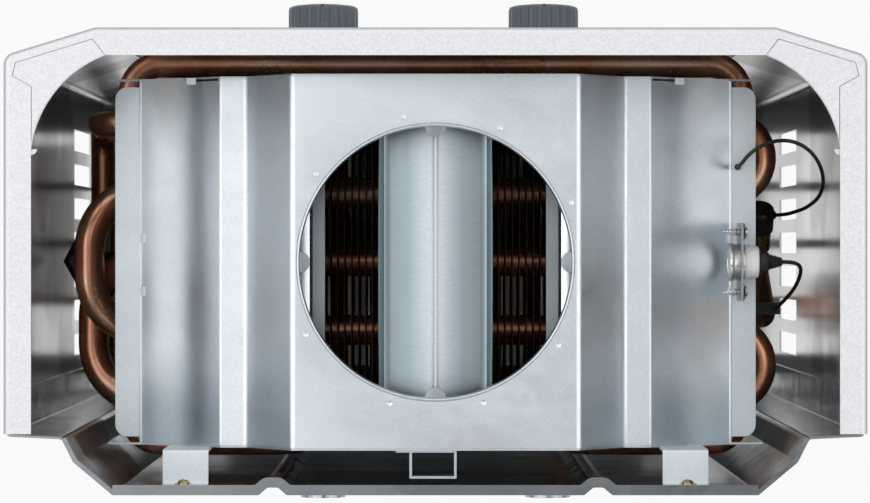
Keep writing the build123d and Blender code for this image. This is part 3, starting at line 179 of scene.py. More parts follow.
class Finish:
    """One material, built up node by node around a Principled shader."""

    def __init__(self, name, **fixed):
        self.material = bpy.data.materials.new(name)
        self.material.use_nodes = True
        self.tree = self.material.node_tree
        self.tree.nodes.clear()
        self.shader = self.tree.nodes.new("ShaderNodeBsdfPrincipled")
        output = self.tree.nodes.new("ShaderNodeOutputMaterial")
        self.tree.links.new(self.shader.outputs[0], output.inputs["Surface"])
        for name, value in fixed.items():
            self.put(name, value)

    def put(self, name, value):
        """Sets or links one of the shader's own sockets."""
        self.feed(self.shader.inputs[name.replace("_", " ")], value)

    def feed(self, socket, value):
        if isinstance(value, Wire):
            self.tree.links.new(value.socket, socket)
        elif isinstance(value, tuple) and len(value) == 3 and socket.type == "RGBA":
            socket.default_value = (*value, 1)
        else:
            socket.default_value = value

    def node(self, kind, settings=(), **inputs):
        """Adds a node of one type, with its settings first and then its sockets."""
        node = self.tree.nodes.new("ShaderNode" + kind)
        for name, value in dict(settings).items():
            if name == "stops":
                self.set_stops(node.color_ramp, value)
            else:
                setattr(node, name, value)
        for name, value in inputs.items():
            key = int(name[1:]) if name[0] == "s" and name[1:].isdigit() else name.replace("_", " ")
            self.feed(node.inputs[key], value)
        return node

    def set_stops(self, ramp, stops):
        while len(ramp.elements) < len(stops):
            ramp.elements.new(0.5)
        for element, (place, colour) in zip(ramp.elements, stops):
            element.position = place
            element.color = (*colour, 1) if isinstance(colour, tuple) else (colour, colour, colour, 1)

    def math(self, operation, *values):
        node = self.node("Math", {"operation": operation})
        for socket, value in zip(node.inputs, values):
            self.feed(socket, value)
        return Wire(self, node.outputs[0])

    def place(self, stretch=(1, 1, 1)):
        """The point's own coordinates on the object, stretched if asked."""
        point = Wire(self, self.node("TexCoord").outputs["Object"])
        if stretch == (1, 1, 1):
            return point
        return Wire(self, self.node("Mapping", Vector=point, Scale=stretch).outputs[0])

    def parts(self, vector):
        """The three numbers in a vector."""
        node = self.node("SeparateXYZ", Vector=vector)
        return [Wire(self, socket) for socket in node.outputs]

    def noise(self, scale, detail=3.0, roughness=0.5, stretch=(1, 1, 1)):
        node = self.node("TexNoise", Vector=self.place(stretch), Scale=scale, Detail=detail,
                         Roughness=roughness)
        return Wire(self, node.outputs["Fac"])

    def cells(self, scale, stretch=(1, 1, 1), output="Distance"):
        node = self.node("TexVoronoi", Vector=self.place(stretch), Scale=scale)
        return Wire(self, node.outputs[output])

    def ramp(self, value, *stops):
        return Wire(self, self.node("ValToRGB", {"stops": stops}, Fac=value).outputs["Color"])

    def between(self, value, low, high, first=0.0, last=1.0):
        """Maps a value from one range to another, held at its ends."""
        node = self.node("MapRange", {"clamp": True}, Value=value, From_Min=low, From_Max=high,
                         To_Min=first, To_Max=last)
        return Wire(self, node.outputs["Result"])

    def blend(self, factor, one, other, way="MIX"):
        """Mixes two colours."""
        node = self.node("Mix", {"data_type": "RGBA", "blend_type": way})
        for socket, value in ((node.inputs[0], factor), (node.inputs[6], one), (node.inputs[7], other)):
            self.feed(socket, value)
        return Wire(self, node.outputs[2])

    def bump(self, height, distance, strength=1.0):
        """Raises the surface by a height map, with distance in metres."""
        normal = self.node("Bump", Height=height, Distance=distance, Strength=strength)
        self.put("Normal", Wire(self, normal.outputs[0]))


def aim_camera():
    """Camera straight above the open top, with the heater's front at the top of the picture."""
    data = bpy.data.cameras.new("camera")
    data.sensor_width = SENSOR
    data.lens = SENSOR * CAMERA_HEIGHT / PICTURE_WIDTH
    data.clip_end = 20
    camera = bpy.data.objects.new("camera", data)
    camera.location = (*PICTURE_MIDDLE, RIM_Z + CAMERA_HEIGHT)
    camera.rotation_euler = (0, 0, math.pi)
    bpy.context.collection.objects.link(camera)
    bpy.context.scene.camera = camera


def lamp(name, place, target, size, power):
    """A square soft lamp at one place, turned towards another."""
    data = bpy.data.lights.new(name, "AREA")
    data.size = size
    data.energy = power
    light = bpy.data.objects.new(name, data)
    light.location = place
    direction = [b - a for a, b in zip(place, target)]
    flat = math.hypot(direction[0], direction[1])
    light.rotation_euler = (math.atan2(flat, -direction[2]), 0,
                            math.atan2(direction[1], direction[0]) - math.pi / 2)
    bpy.context.collection.objects.link(light)


class Sky(Finish):
    """The world's shader, built up in the same way as a material."""

    def __init__(self, world):
        world.use_nodes = True
        self.tree = world.node_tree
        self.tree.nodes.clear()

    def light_path(self, *names):
        """One where the ray is of any of the named kinds, otherwise nothing."""
        path = self.node("LightPath")
        kinds = [Wire(self, path.outputs["Is " + name + " Ray"]) for name in names]
        return kinds[0] if len(kinds) == 1 else self.math("MAXIMUM", *kinds)


def light_the_studio():
    """Surroundings with one set of levels for metal and one for rough surfaces, and three soft lamps."""
    world = bpy.data.worlds.new("studio")
    bpy.context.scene.world = world
    sky = Sky(world)
    seen = sky.light_path("Camera", "Transmission")
    glossy = sky.light_path("Glossy")
    across, along, up = sky.parts(Wire(sky, sky.node("TexCoord").outputs["Generated"]))
    lean = sky.between(across * 3.0 - along * 2.2, -0.5, 0.5, -GLOSSY_LEAN, GLOSSY_LEAN)
    lean = 1 + lean * sky.between(abs(across), 0.2, 0.4, 1.0, 0.0)
    overhead = sky.between(up, *OVERHEAD_EDGE)
    ring = sky.between(up, *RING_EDGE, GLOSSY_HORIZON, GLOSSY_RING)
    mirrored = ring * (1 - overhead) + lean * overhead * GLOSSY_ZENITH
    plain = sky.between(up, *DIFFUSE_EDGE, DIFFUSE_HORIZON, DIFFUSE_ZENITH)
    level = glossy * mirrored + (1 - glossy) * plain
    white = sky.node("Background", Color=(1, 1, 1), Strength=sky.math("MAXIMUM", seen, level))
    output = sky.node("OutputWorld")
    sky.tree.links.new(white.outputs[0], output.inputs["Surface"])
    for name, (place, target, size, power) in LAMPS.items():
        lamp(name, place, target, size, power)


def make_floor():
    """A plain pale floor under the hanging heater."""
    bpy.ops.object.select_all(action="DESELECT")
    bpy.ops.mesh.primitive_plane_add(size=FLOOR_SIZE, location=(0, 0, FLOOR_Z - FLOOR_DROP))
    floor = bpy.context.object
    floor.name = "floor"
    finish = Finish("pale_floor", Base_Color=(0.5, 0.5, 0.5), Roughness=0.8)
    path = finish.node("LightPath")
    seen = Wire(finish, path.outputs["Is Glossy Ray"]) * FLOOR_GLOSS
    for kind in ("Is Camera Ray", "Is Transmission Ray"):
        seen = finish.math("MAXIMUM", seen, Wire(finish, path.outputs[kind]) * FLOOR_GLOW)
    glow = finish.node("Emission", Color=(1, 1, 1, 1), Strength=1.0)
    mix = finish.node("MixShader", s0=seen)
    finish.tree.links.new(finish.shader.outputs[0], mix.inputs[1])
    finish.tree.links.new(glow.outputs[0], mix.inputs[2])
    output = next(node for node in finish.tree.nodes if node.type == "OUTPUT_MATERIAL")
    finish.tree.links.new(mix.outputs[0], output.inputs["Surface"])
    floor.data.materials.append(finish.material)


def one_lead(name, route):
    """A thin round lead along its route, from one seat to the other."""
    data = bpy.data.curves.new(name, "CURVE")
    data.dimensions = "3D"
    data.bevel_depth = LEAD_DIAMETER / 2
    data.bevel_resolution = 5
    data.resolution_u = 16
    data.use_fill_caps = True
    line = data.splines.new("NURBS")
    line.points.add(len(route) - 1)
    for point, (x, y, z) in zip(line.points, route):
        point.co = (x * MM, y * MM, z * MM, 1)
    line.order_u = 3
    line.use_endpoint_u = True
    cord = bpy.data.objects.new(name, data)
    bpy.context.collection.objects.link(cord)
    data.materials.append(finishes["lead_rubber"])
    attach(cord, "heater")
    return cord


def make_leads():
    """The overheat switch's lead and the water sensor's lead."""
    switch = one_lead("switch_lead", STAT_ROUTE)
    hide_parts("thermostat_lead")
    sensor = one_lead("water_sensor_lead", SENSOR_ROUTE)
    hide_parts("sensor_lead")


def silver_paint():
    """Fine silver spray paint outside and bare galvanised sheet inside the casing, with painted shade at the
    rim's rounded edges and painted copper reflections on the bare sheet.
    """
    finish = Finish("silver_paint")
    x, y, z = finish.parts(finish.place())
    geometry = finish.node("NewGeometry")
    nx, ny, nz = finish.parts(Wire(finish, geometry.outputs["Normal"]))
    outward = nx * x + ny * (y - HOOD_MID_Y)
    upright = abs(nz) < 0.6
    bare = (outward < 0) * upright
    below = (nz < -0.6) * (z > FLOOR_Z + 0.02)
    bare = finish.math("MAXIMUM", bare, below)
    flake, _, _ = finish.parts(finish.cells(1900, output="Color"))
    grain = finish.noise(1300, 3, 0.6)
    cloud = finish.noise(11, 4, 0.55)
    speck = flake * 0.6 + finish.between(grain, 0.3, 0.7) * 0.4
    paint = finish.blend(speck, (0.72, 0.728, 0.750), (0.92, 0.928, 0.955))
    paint = finish.blend(finish.between(cloud, 0.3, 0.7) * 0.12, paint, (0.72, 0.73, 0.75))
    # Painted shade: near the top of the rim, surfaces that tilt away from straight up, such as the rounded
    # outer edges, are darkened towards grey.
    rounded = finish.between(nz, 0.55, 0.93, 1.0, 0.0) * (z > RIM_Z - 0.004)
    paint = finish.blend(rounded * 0.6, paint, (0.26, 0.27, 0.29))
    smear = finish.noise(16, 3, 0.5, stretch=(1, 1, 0.4))
    # Dark brown blotches on the bare sheet inside: painted reflections of the dark copper inside the casing.
    copper_reflection_blotch = finish.noise(9, 2, 0.45)
    fine = finish.noise(900, 3, 0.6, stretch=(1, 1, 0.35))
    sheet = finish.blend(finish.between(smear, 0.30, 0.70), (0.84, 0.84, 0.85), (0.95, 0.95, 0.955))
    sheet = finish.blend(finish.between(fine, 0.35, 0.65) * 0.2, sheet, (0.62, 0.61, 0.60))
    sheet = finish.blend(finish.between(copper_reflection_blotch, 0.53, 0.59) * 0.8, sheet, (0.22, 0.16, 0.13))
    finish.put("Base Color", finish.blend(bare, paint, sheet))
    finish.put("Metallic", bare * 0.85 + (1 - bare) * 0.28)
    rough_paint = finish.between(speck, 0.2, 0.8, 0.38, 0.50)
    rough_bare = finish.between(smear, 0.3, 0.7, 0.12, 0.22)
    finish.put("Roughness", rough_paint * (1 - bare) + rough_bare * bare)
    finish.bump(speck * (1 - bare) * 0.5 + fine * bare, FINE_GRAIN, 0.5)
    return finish.material


def galvanised_sheet(name="galvanised_sheet", tone=1.0, low=0.28, high=0.40, metallic=1.0):
    """Bare galvanised sheet with a faint spangle and the streaks of the rolling mill."""
    finish = Finish(name, Metallic=metallic)
    dark, middle, light = [tuple(tone * part for part in colour) for colour in
                           ((0.53, 0.60, 0.65), (0.72, 0.79, 0.84), (0.85, 0.90, 0.94))]
    grain, _, _ = finish.parts(finish.cells(190, output="Color"))
    streak = finish.noise(60, 4, 0.6, stretch=(0.3, 1, 1))
    brushed = finish.noise(1400, 3, 0.6, stretch=(1, 0.5, 1))
    cloud = finish.noise(9, 5, 0.6)
    spots = finish.noise(900, 3, 0.7)
    broad = finish.noise(16, 1, 0.4)
    base = finish.blend(finish.between(cloud, 0.3, 0.7), middle, light)
    base = finish.blend(grain * 0.14, base, light)
    base = finish.blend(finish.between(brushed, 0.35, 0.65) * 0.22, base, dark)
    base = finish.blend(finish.between(spots, 0.58, 0.72) * 0.35, base, dark)
    finish.put("Base Color", base)
    finish.put("Roughness", finish.between(streak, 0.25, 0.75, low, high) + grain * 0.04)
    finish.bump(streak * 0.5 + brushed * 0.3 + spots * 0.2 + broad * 30, FINE_GRAIN, 0.6)
    return finish.material


def ridged_sheet():
    """Galvanised sheet darkened as painted shade under the hood, with a painted highlight along its ridge and
    a lighter band beside it.
    """
    finish = Finish("ridged_sheet", Metallic=1.0)
    x, _, _ = finish.parts(finish.place())
    streak = finish.noise(60, 4, 0.6, stretch=(1, 0.05, 1))
    brushed = finish.noise(1500, 3, 0.6, stretch=(0.06, 1, 1))
    cloud = finish.noise(9, 5, 0.6)
    # Painted shade: the whole strip is darker than the galvanised sheet.
    base = finish.blend(finish.between(cloud, 0.3, 0.7), (0.25, 0.31, 0.34), (0.32, 0.38, 0.41))
    # Painted light: a lighter band within about a centimetre of the ridge.
    base = finish.blend(finish.between(abs(x), 0.001, 0.011, 0.85, 0.0), base, (0.52, 0.57, 0.61))
    base = finish.blend(finish.between(brushed, 0.35, 0.65) * 0.2, base, (0.20, 0.24, 0.27))
    # Painted highlight: a near-white line along the ridge itself.
    base = finish.blend(finish.between(abs(x), 0.0002, 0.0006, 1.0, 0.0), base, (0.98, 0.99, 1.0))
    finish.put("Base Color", base)
    finish.put("Roughness", finish.between(streak, 0.25, 0.75, 0.30, 0.42))
    finish.bump(streak * 0.5 + brushed * 0.3, FINE_GRAIN, 0.6)
    return finish.material


def dull_steel():
    """Plain steel sheet, dulled and tinted by heat."""
    finish = Finish("dull_steel", Metallic=1.0)
    cloud = finish.noise(12, 6, 0.65)
    streak = finish.noise(80, 4, 0.6, stretch=(1, 1, 0.08))
    base = finish.ramp(cloud, (0.3, (0.20, 0.17, 0.15)), (0.5, (0.36, 0.33, 0.31)), (0.7, (0.46, 0.45, 0.45)))
    finish.put("Base Color", base)
    finish.put("Roughness", finish.between(streak, 0.3, 0.7, 0.38, 0.55))
    finish.bump(streak, FINE_GRAIN, 0.5)
    return finish.material


def copper_pipe():
    """Copper pipe, darkened unevenly by heat and handling, with brighter rubbed places."""
    finish = Finish("copper_pipe", Metallic=0.85)
    cloud = finish.noise(26, 5, 0.6)
    fine = finish.noise(240, 4, 0.65)
    rings = finish.noise(18, 3, 0.5, stretch=(1, 0.4, 1))
    base = finish.ramp(cloud, (0.30, (0.62, 0.25, 0.13)), (0.45, (0.92, 0.42, 0.25)),
                       (0.58, (1.00, 0.58, 0.38)), (0.72, (1.00, 0.74, 0.55)))
    base = finish.blend(finish.between(fine, 0.55, 0.7) * 0.25, base, (0.30, 0.12, 0.07))
    finish.put("Base Color", base)
    finish.put("Roughness", finish.between(rings, 0.3, 0.7, 0.20, 0.34) + fine * 0.08)
    finish.bump(fine, FINE_GRAIN, 0.5)
    return finish.material


def dark_copper():
    """Thin copper sheet, almost black from the flame."""
    finish = Finish("dark_copper", Metallic=1.0)
    cloud = finish.noise(30, 5, 0.65)
    fine = finish.noise(400, 3, 0.6)
    base = finish.ramp(cloud, (0.3, (0.035, 0.020, 0.016)), (0.55, (0.10, 0.050, 0.034)),
                       (0.75, (0.22, 0.105, 0.065)))
    finish.put("Base Color", base)
    finish.put("Roughness", finish.between(fine, 0.3, 0.7, 0.42, 0.60))
    finish.bump(fine, FINE_GRAIN, 0.5)
    return finish.material


def turned_metal(name, dark, light, low=0.22, high=0.34):
    """Turned or plated metal with fine tool marks and a slight film."""
    finish = Finish(name, Metallic=1.0)
    marks = finish.noise(900, 3, 0.6, stretch=(1, 1, 0.3))
    cloud = finish.noise(60, 4, 0.6)
    finish.put("Base Color", finish.blend(finish.between(cloud, 0.3, 0.7), dark, light))
    finish.put("Roughness", finish.between(marks, 0.25, 0.75, low, high))
    finish.bump(marks, 0.00002, 0.5)
    return finish.material


def cast_alloy():
    """Die-cast alloy with a pebbled skin."""
    finish = Finish("cast_alloy", Metallic=1.0)
    skin = finish.noise(520, 4, 0.7)
    cloud = finish.noise(25, 4, 0.6)
    base = finish.blend(finish.between(cloud, 0.3, 0.7), (0.42, 0.42, 0.42), (0.62, 0.62, 0.63))
    finish.put("Base Color", base)
    finish.put("Roughness", finish.between(skin, 0.3, 0.7, 0.40, 0.58))
    finish.bump(skin, 0.00012, 0.6)
    return finish.material


def moulded(name, dark, light, low, high, scale=900):
    """Moulded plastic or rubber with a fine eroded texture."""
    finish = Finish(name, Specular_IOR_Level=0.5)
    skin = finish.noise(scale, 3, 0.6)
    cloud = finish.noise(22, 4, 0.6)
    dust = finish.noise(300, 2, 0.5)
    base = finish.blend(finish.between(cloud, 0.3, 0.7), dark, light)
    base = finish.blend(finish.between(dust, 0.66, 0.78) * 0.15, base, (0.45, 0.45, 0.45))
    finish.put("Base Color", base)
    finish.put("Roughness", finish.between(skin, 0.3, 0.7, low, high))
    finish.bump(skin, 0.00004, 0.6)
    return finish.material


def white_ceramic():
    """Unglazed white ceramic with a chalky grain."""
    finish = Finish("white_ceramic")
    grain = finish.noise(700, 4, 0.65)
    cloud = finish.noise(80, 3, 0.5)
    base = finish.blend(finish.between(cloud, 0.35, 0.7) * 0.4, (0.98, 0.97, 0.96), (0.90, 0.88, 0.86))
    finish.put("Base Color", base)
    finish.put("Roughness", finish.between(grain, 0.3, 0.7, 0.45, 0.62))
    finish.bump(grain, 0.00004, 0.5)
    return finish.material


def cell_wrap():
    """Plain shrink wrap on a round cell, with a copper-coloured band at its top."""
    finish = Finish("cell_wrap", Coat_Roughness=0.12)
    _, _, z = finish.parts(finish.place())
    fine = finish.noise(350, 3, 0.5)
    band = z > FLOOR_Z + 0.045
    tip = z > FLOOR_Z + 0.0585
    base = finish.blend(band, (0.035, 0.04, 0.05), (0.52, 0.30, 0.14))
    finish.put("Base Color", finish.blend(tip, base, (0.70, 0.70, 0.68)))
    finish.put("Metallic", finish.between(band, 0, 1, 0.1, 0.8))
    finish.put("Roughness", finish.between(fine, 0.3, 0.7, 0.22, 0.34))
    return finish.material


def clear_glass():
    """Heat-proof window glass with a faint haze."""
    finish = Finish("clear_glass", Transmission_Weight=1.0, IOR=1.47)
    haze = finish.noise(90, 4, 0.6)
    base = finish.blend(finish.between(haze, 0.3, 0.7), (0.82, 0.87, 0.86), (0.92, 0.95, 0.94))
    finish.put("Base Color", base)
    finish.put("Roughness", finish.between(haze, 0.4, 0.7, 0.02, 0.10))
    return finish.material


def make_finishes():
    """Every finish on the heater, by the record's slot."""
    return {
        "casing_paint": silver_paint(),
        "galvanised": galvanised_sheet(),
        "plate_steel": galvanised_sheet("plate_steel", 0.51, 0.13, 0.24),
        "chamber_steel": dull_steel(),
        "copper": copper_pipe(),
        "fin_copper": dark_copper(),
        "brass": turned_metal("turned_brass", (0.50, 0.36, 0.13), (0.72, 0.55, 0.24)),
        "cast_metal": cast_alloy(),
        "screw_steel": turned_metal("plated_steel", (0.62, 0.61, 0.59), (0.82, 0.81, 0.78), 0.14, 0.26),
        "yellow_zinc": turned_metal("yellow_zinc", (0.55, 0.45, 0.20), (0.80, 0.70, 0.40), 0.18, 0.30),
        "knob_plastic": moulded("knob_plastic", (0.075, 0.092, 0.112), (0.102, 0.120, 0.142), 0.28, 0.40),
        "black_plastic": moulded("black_plastic", (0.018, 0.018, 0.019), (0.032, 0.032, 0.034), 0.30, 0.44),
        "black_rubber": moulded("black_rubber", (0.014, 0.014, 0.014), (0.026, 0.026, 0.026), 0.42, 0.60,
                                500),
        "ceramic": white_ceramic(),
        "battery_skin": cell_wrap(),
        "sight_glass": clear_glass(),
        # A rougher copy of the galvanised sheet, darkened to about half as painted shade for parts that stand
        # in shade under the hood.
        "dull_shaded_sheet": galvanised_sheet("dull_shaded_sheet", 0.52, 0.34, 0.46),
        "ridged_sheet": ridged_sheet(),
        # A smoother copy of the galvanised sheet, its tone raised above the sheet's as painted light.
        "polished_lit_sheet": galvanised_sheet("polished_lit_sheet", 1.06, 0.18, 0.30),
        # A lightened, mostly non-metal copy of the galvanised sheet: painted light for bright sheets.
        "lit_sheet": galvanised_sheet("lit_sheet", 1.06, 0.30, 0.42, 0.15),
        "lead_rubber": moulded("lead_rubber", (0.008, 0.008, 0.008), (0.014, 0.014, 0.014), 0.32, 0.48, 700),
    }


def dress_nodes():
    """Gives every node of the frame the finish of its slot."""
    slots = {part["node"]: part["material_slot"] for part in frame["record"]["subparts"]}
    for name, node in frame["nodes"].items():
        node.data.materials.clear()
        node.data.materials.append(finishes[SHEETS.get(name, slots[name])])


def mm(*values):
    """Millimetres as metres."""
    return tuple(value * MM for value in values)


def add(shape, **settings):
    """Starts a piece from one primitive."""
    bpy.ops.object.select_all(action="DESELECT")
    getattr(bpy.ops.mesh, "primitive_" + shape + "_add")(**settings)
    return bpy.context.object


def only(*objects):
    """Selects these objects and nothing else, the last one active."""
    bpy.ops.object.select_all(action="DESELECT")
    for one in objects:
        one.select_set(True)
    bpy.context.view_layer.objects.active = objects[-1]


def apply_place(obj):
    """Moves the object's place, turn and size into its mesh."""
    only(obj)
    bpy.ops.object.transform_apply(location=True, rotation=True, scale=True)


def edit(obj, kind="VERT"):
    """Opens a mesh for editing with nothing selected."""
    only(obj)
    bpy.ops.object.mode_set(mode="EDIT")
    bpy.ops.mesh.select_mode(type=kind)
    bpy.ops.mesh.select_all(action="DESELECT")


def pick(obj, kind, test):
    """Selects, in an open mesh, the vertices, edges or faces whose middle passes a test."""
    mesh = bmesh.from_edit_mesh(obj.data)
    for item in getattr(mesh, kind):
        if kind == "verts":
            middle = item.co
        elif kind == "edges":
            middle = (item.verts[0].co + item.verts[1].co) / 2
        else:
            middle = item.calc_center_median()
        item.select_set(test(middle, item))
    mesh.select_flush_mode()
    bmesh.update_edit_mesh(obj.data)


def done():
    """Closes the open mesh, with doubles merged and normals outwards."""
    bpy.ops.mesh.select_all(action="SELECT")
    bpy.ops.mesh.remove_doubles(threshold=0.000004)
    bpy.ops.mesh.normals_make_consistent(inside=False)
    bpy.ops.object.mode_set(mode="OBJECT")


def modify(obj, kind, **settings):
    """Adds a modifier and applies it at once."""
    only(obj)
    modifier = obj.modifiers.new(kind.lower(), kind)
    for name, value in settings.items():
        setattr(modifier, name, value)
    bpy.ops.object.modifier_apply(modifier=modifier.name)


def soften(obj, width, segments, degrees):
    """Rounds the edges that turn by more than an angle, with the width in millimetres."""
    modify(obj, "BEVEL", width=width * MM, segments=segments, limit_method="ANGLE",
           angle_limit=math.radians(degrees))


def block(place, *size):
    """A plain block of a size in millimetres, round a place in metres."""
    piece = add("cube", size=1, location=place)
    piece.dimensions = mm(*size)
    apply_place(piece)
    return piece


def cut(obj, cutter):
    """Cuts one piece with another, which then goes."""
    modify(obj, "BOOLEAN", operation="DIFFERENCE", object=cutter, solver="EXACT")
    bpy.data.objects.remove(cutter)


def join(*objects):
    """Makes several objects into the last one."""
    only(*objects)
    bpy.ops.object.join()
    return objects[-1]


def settle(obj, name, slot, nodes=(), body="heater", finish=None, smooth=40):
    """Shades, names and dresses a finished piece, and hands it to its body."""
    only(obj)
    bpy.ops.object.shade_smooth_by_angle(angle=math.radians(smooth))
    obj.name = name
    obj.data.name = name
    obj.data.materials.clear()
    obj.data.materials.append(finishes[finish or slot])
    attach(obj, body)
    if nodes:
        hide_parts(*nodes)
    return obj


def outline(profile):
    """An open line through (radius, height) pairs, left open for editing."""
    obj = add("plane", size=0.001)
    edit(obj)
    pick(obj, "verts", lambda p, v: p.x + p.y < 0.0009)
    bpy.ops.mesh.delete(type="VERT")
    bpy.ops.mesh.select_all(action="SELECT")
    radius, height = profile[0]
    bpy.ops.transform.translate(value=mm(radius - 0.5, -0.5, height))
    for next_radius, next_height in profile[1:]:
        step = mm(next_radius - radius, 0, next_height - height)
        bpy.ops.mesh.extrude_vertices_move(TRANSFORM_OT_translate={"value": step})
        radius, height = next_radius, next_height
    bpy.ops.mesh.select_all(action="SELECT")
    return obj


def aim(obj, start, direction):
    """Stands a piece made on the Z axis at a point, along a direction."""
    turn = Vector(direction).to_track_quat("Z", "Y").to_matrix().to_4x4()
    obj.matrix_world = Matrix.Translation(Vector(start) * MM) @ turn
    apply_place(obj)
    return obj


def turned(profile, start, direction, steps=48):
    """A round piece spun from (radius, distance) pairs, from one point along a direction."""
    obj = outline(profile)
    bpy.ops.mesh.spin(steps=steps, angle=2 * math.pi, center=(0, 0, 0), axis=(0, 0, 1))
    done()
    return aim(obj, start, direction)


def helix(profile, pitch, turns, start, direction, steps=32):
    """A screw thread's ridge, wound from an open profile."""
    obj = outline(profile)
    bpy.ops.object.mode_set(mode="OBJECT")
    modify(obj, "SCREW", axis="Z", angle=2 * math.pi, screw_offset=pitch * MM, iterations=turns,
           steps=steps, render_steps=steps, use_normal_calculate=True)
    return aim(obj, start, direction)


def arc_points(start, middle, end, count):
    """Points along the arc through three points of a plane, without the first."""
    (ax, ay), (bx, by), (cx, cy) = start, middle, end
    d = 2 * (ax * (by - cy) + bx * (cy - ay) + cx * (ay - by))
    a2, b2, c2 = ax * ax + ay * ay, bx * bx + by * by, cx * cx + cy * cy
    ox = (a2 * (by - cy) + b2 * (cy - ay) + c2 * (ay - by)) / d
    oy = (a2 * (cx - bx) + b2 * (ax - cx) + c2 * (bx - ax)) / d
    radius = math.hypot(ax - ox, ay - oy)
    first, last = math.atan2(ay - oy, ax - ox), math.atan2(cy - oy, cx - ox)
    return [(ox + radius * math.cos(first + (last - first) * k / count),
             oy + radius * math.sin(first + (last - first) * k / count)) for k in range(1, count + 1)]


def wavy(points, swell):
    """A curve's points moved out, in and out again a little, as hand-bent sheet is."""
    moved = []
    for k, (x, z) in enumerate(points):
        wave = swell * math.sin(3 * math.pi * (k + 1) / len(points))
        moved.append((x + 0.61 * wave, z + 0.79 * wave))
    return moved


def round_flue(radius, angle, height=0.0):
    """A point on a circle round the flue hole, in metres."""
    return (radius * math.cos(angle), HOOD_MID_Y + radius * math.sin(angle), height)


def hood_sheet():
    """The folded hood, with rounded bends, the flue hole and the marks of the clinching tool."""
    top, strip = HOOD_TOP / MM, HOOD_TOP / MM - STRIP_DROP
    end = (CURVE_X, strip - CURVE_DROP)
    profile = [(SLOPE_X, strip), (STRIP_X, strip)]
    curve = arc_points(profile[1], (CURVE_MIDDLE[0], strip - CURVE_MIDDLE[1]), end, CURVE_STEPS)
    lip = [(CURVE_X + 0.5, end[1] + 0.4), (CURVE_X + 0.95, end[1] + 0.25)]
    hood = add("plane", size=1, location=(0, HOOD_MID_Y, HOOD_TOP))
    hood.dimensions = (*mm(2 * FLAT_X, HOOD_DEPTH), 0)
    apply_place(hood)
    edit(hood, "EDGE")
    for side, swell in ((1, 0.65), (-1, 0.25)):
        pick(hood, "edges", lambda p, e: abs(p.x - side * FLAT_X * MM) < 0.0001)
        x, z = FLAT_X, top
        for next_x, next_z in profile + wavy(curve, swell) + lip:
            step = mm(side * (next_x - x), 0, next_z - z)
            bpy.ops.mesh.extrude_region_move(TRANSFORM_OT_translate={"value": step})
            x, z = next_x, next_z
    for x, radius in ((FLAT_X, 1.5), (SLOPE_X, 1.6), (STRIP_X, 0.7)):
        pick(hood, "edges", lambda p, e: abs(abs(p.x) - x * MM) < 0.00005 and abs(p.y - HOOD_MID_Y) < 0.001)
        bpy.ops.mesh.bevel(offset=radius * MM, segments=5, affect="EDGES")
    done()
    modify(hood, "SOLIDIFY", thickness=SHEET * MM, offset=-1)
    cut(hood, add("cylinder", vertices=160, radius=FLUE_R + 1.1 * MM, depth=0.02,
                  location=(0, HOOD_MID_Y, HOOD_TOP)))
    for degrees in CLINCH_ANGLES:
        place = round_flue(CLINCH_R, math.radians(degrees), HOOD_TOP + 1.1 * MM)
        cut(hood, add("uv_sphere", segments=20, ring_count=12, radius=1.55 * MM, location=place))
    for side in (1, -1):
        for offset in (-10, 12):
            cut(hood, block((side * SLOT_X, HOOD_MID_Y + offset * MM, SLOT_Z), 1.6, 4, 8))
        cut(hood, block((side * SLIT_X, HOOD_LOW[1], SLIT_Z), 9.5, 1.8, 20))
    soften(hood, 0.12, 1, 60)
    return settle(hood, "hood_sheet", "galvanised", ["hood_cover"], smooth=28)


def hood_tabs():
    """Two small tabs of the front wall, turned in over the ends of the hood's slits."""
    tabs = []
    for side in (1, -1):
        tab = folded_strip([(side * 98.4, 219.2), (side * 100.2, 218.5), (side * 102.2, 217.4)],
                           HOOD_LOW[1] / MM - 0.5, HOOD_LOW[1] / MM + 2.2, 0.6)
        tabs.append(tab)
    # The tabs wear the lightened sheet, as painted light.
    settle(join(*tabs), "hood_tabs", "galvanised", finish="lit_sheet")


def folded_strip(profile, front, rear, thickness):
    """A sheet folded along (x, z) pairs, run from its front to its rear edge."""
    strip = outline(profile)
    bpy.ops.transform.translate(value=mm(0, front, 0))
    bpy.ops.mesh.extrude_region_move(TRANSFORM_OT_translate={"value": mm(0, rear - front, 0)})
    done()
    modify(strip, "SOLIDIFY", thickness=thickness * MM, offset=0)
    soften(strip, 0.1, 1, 60)
    return strip


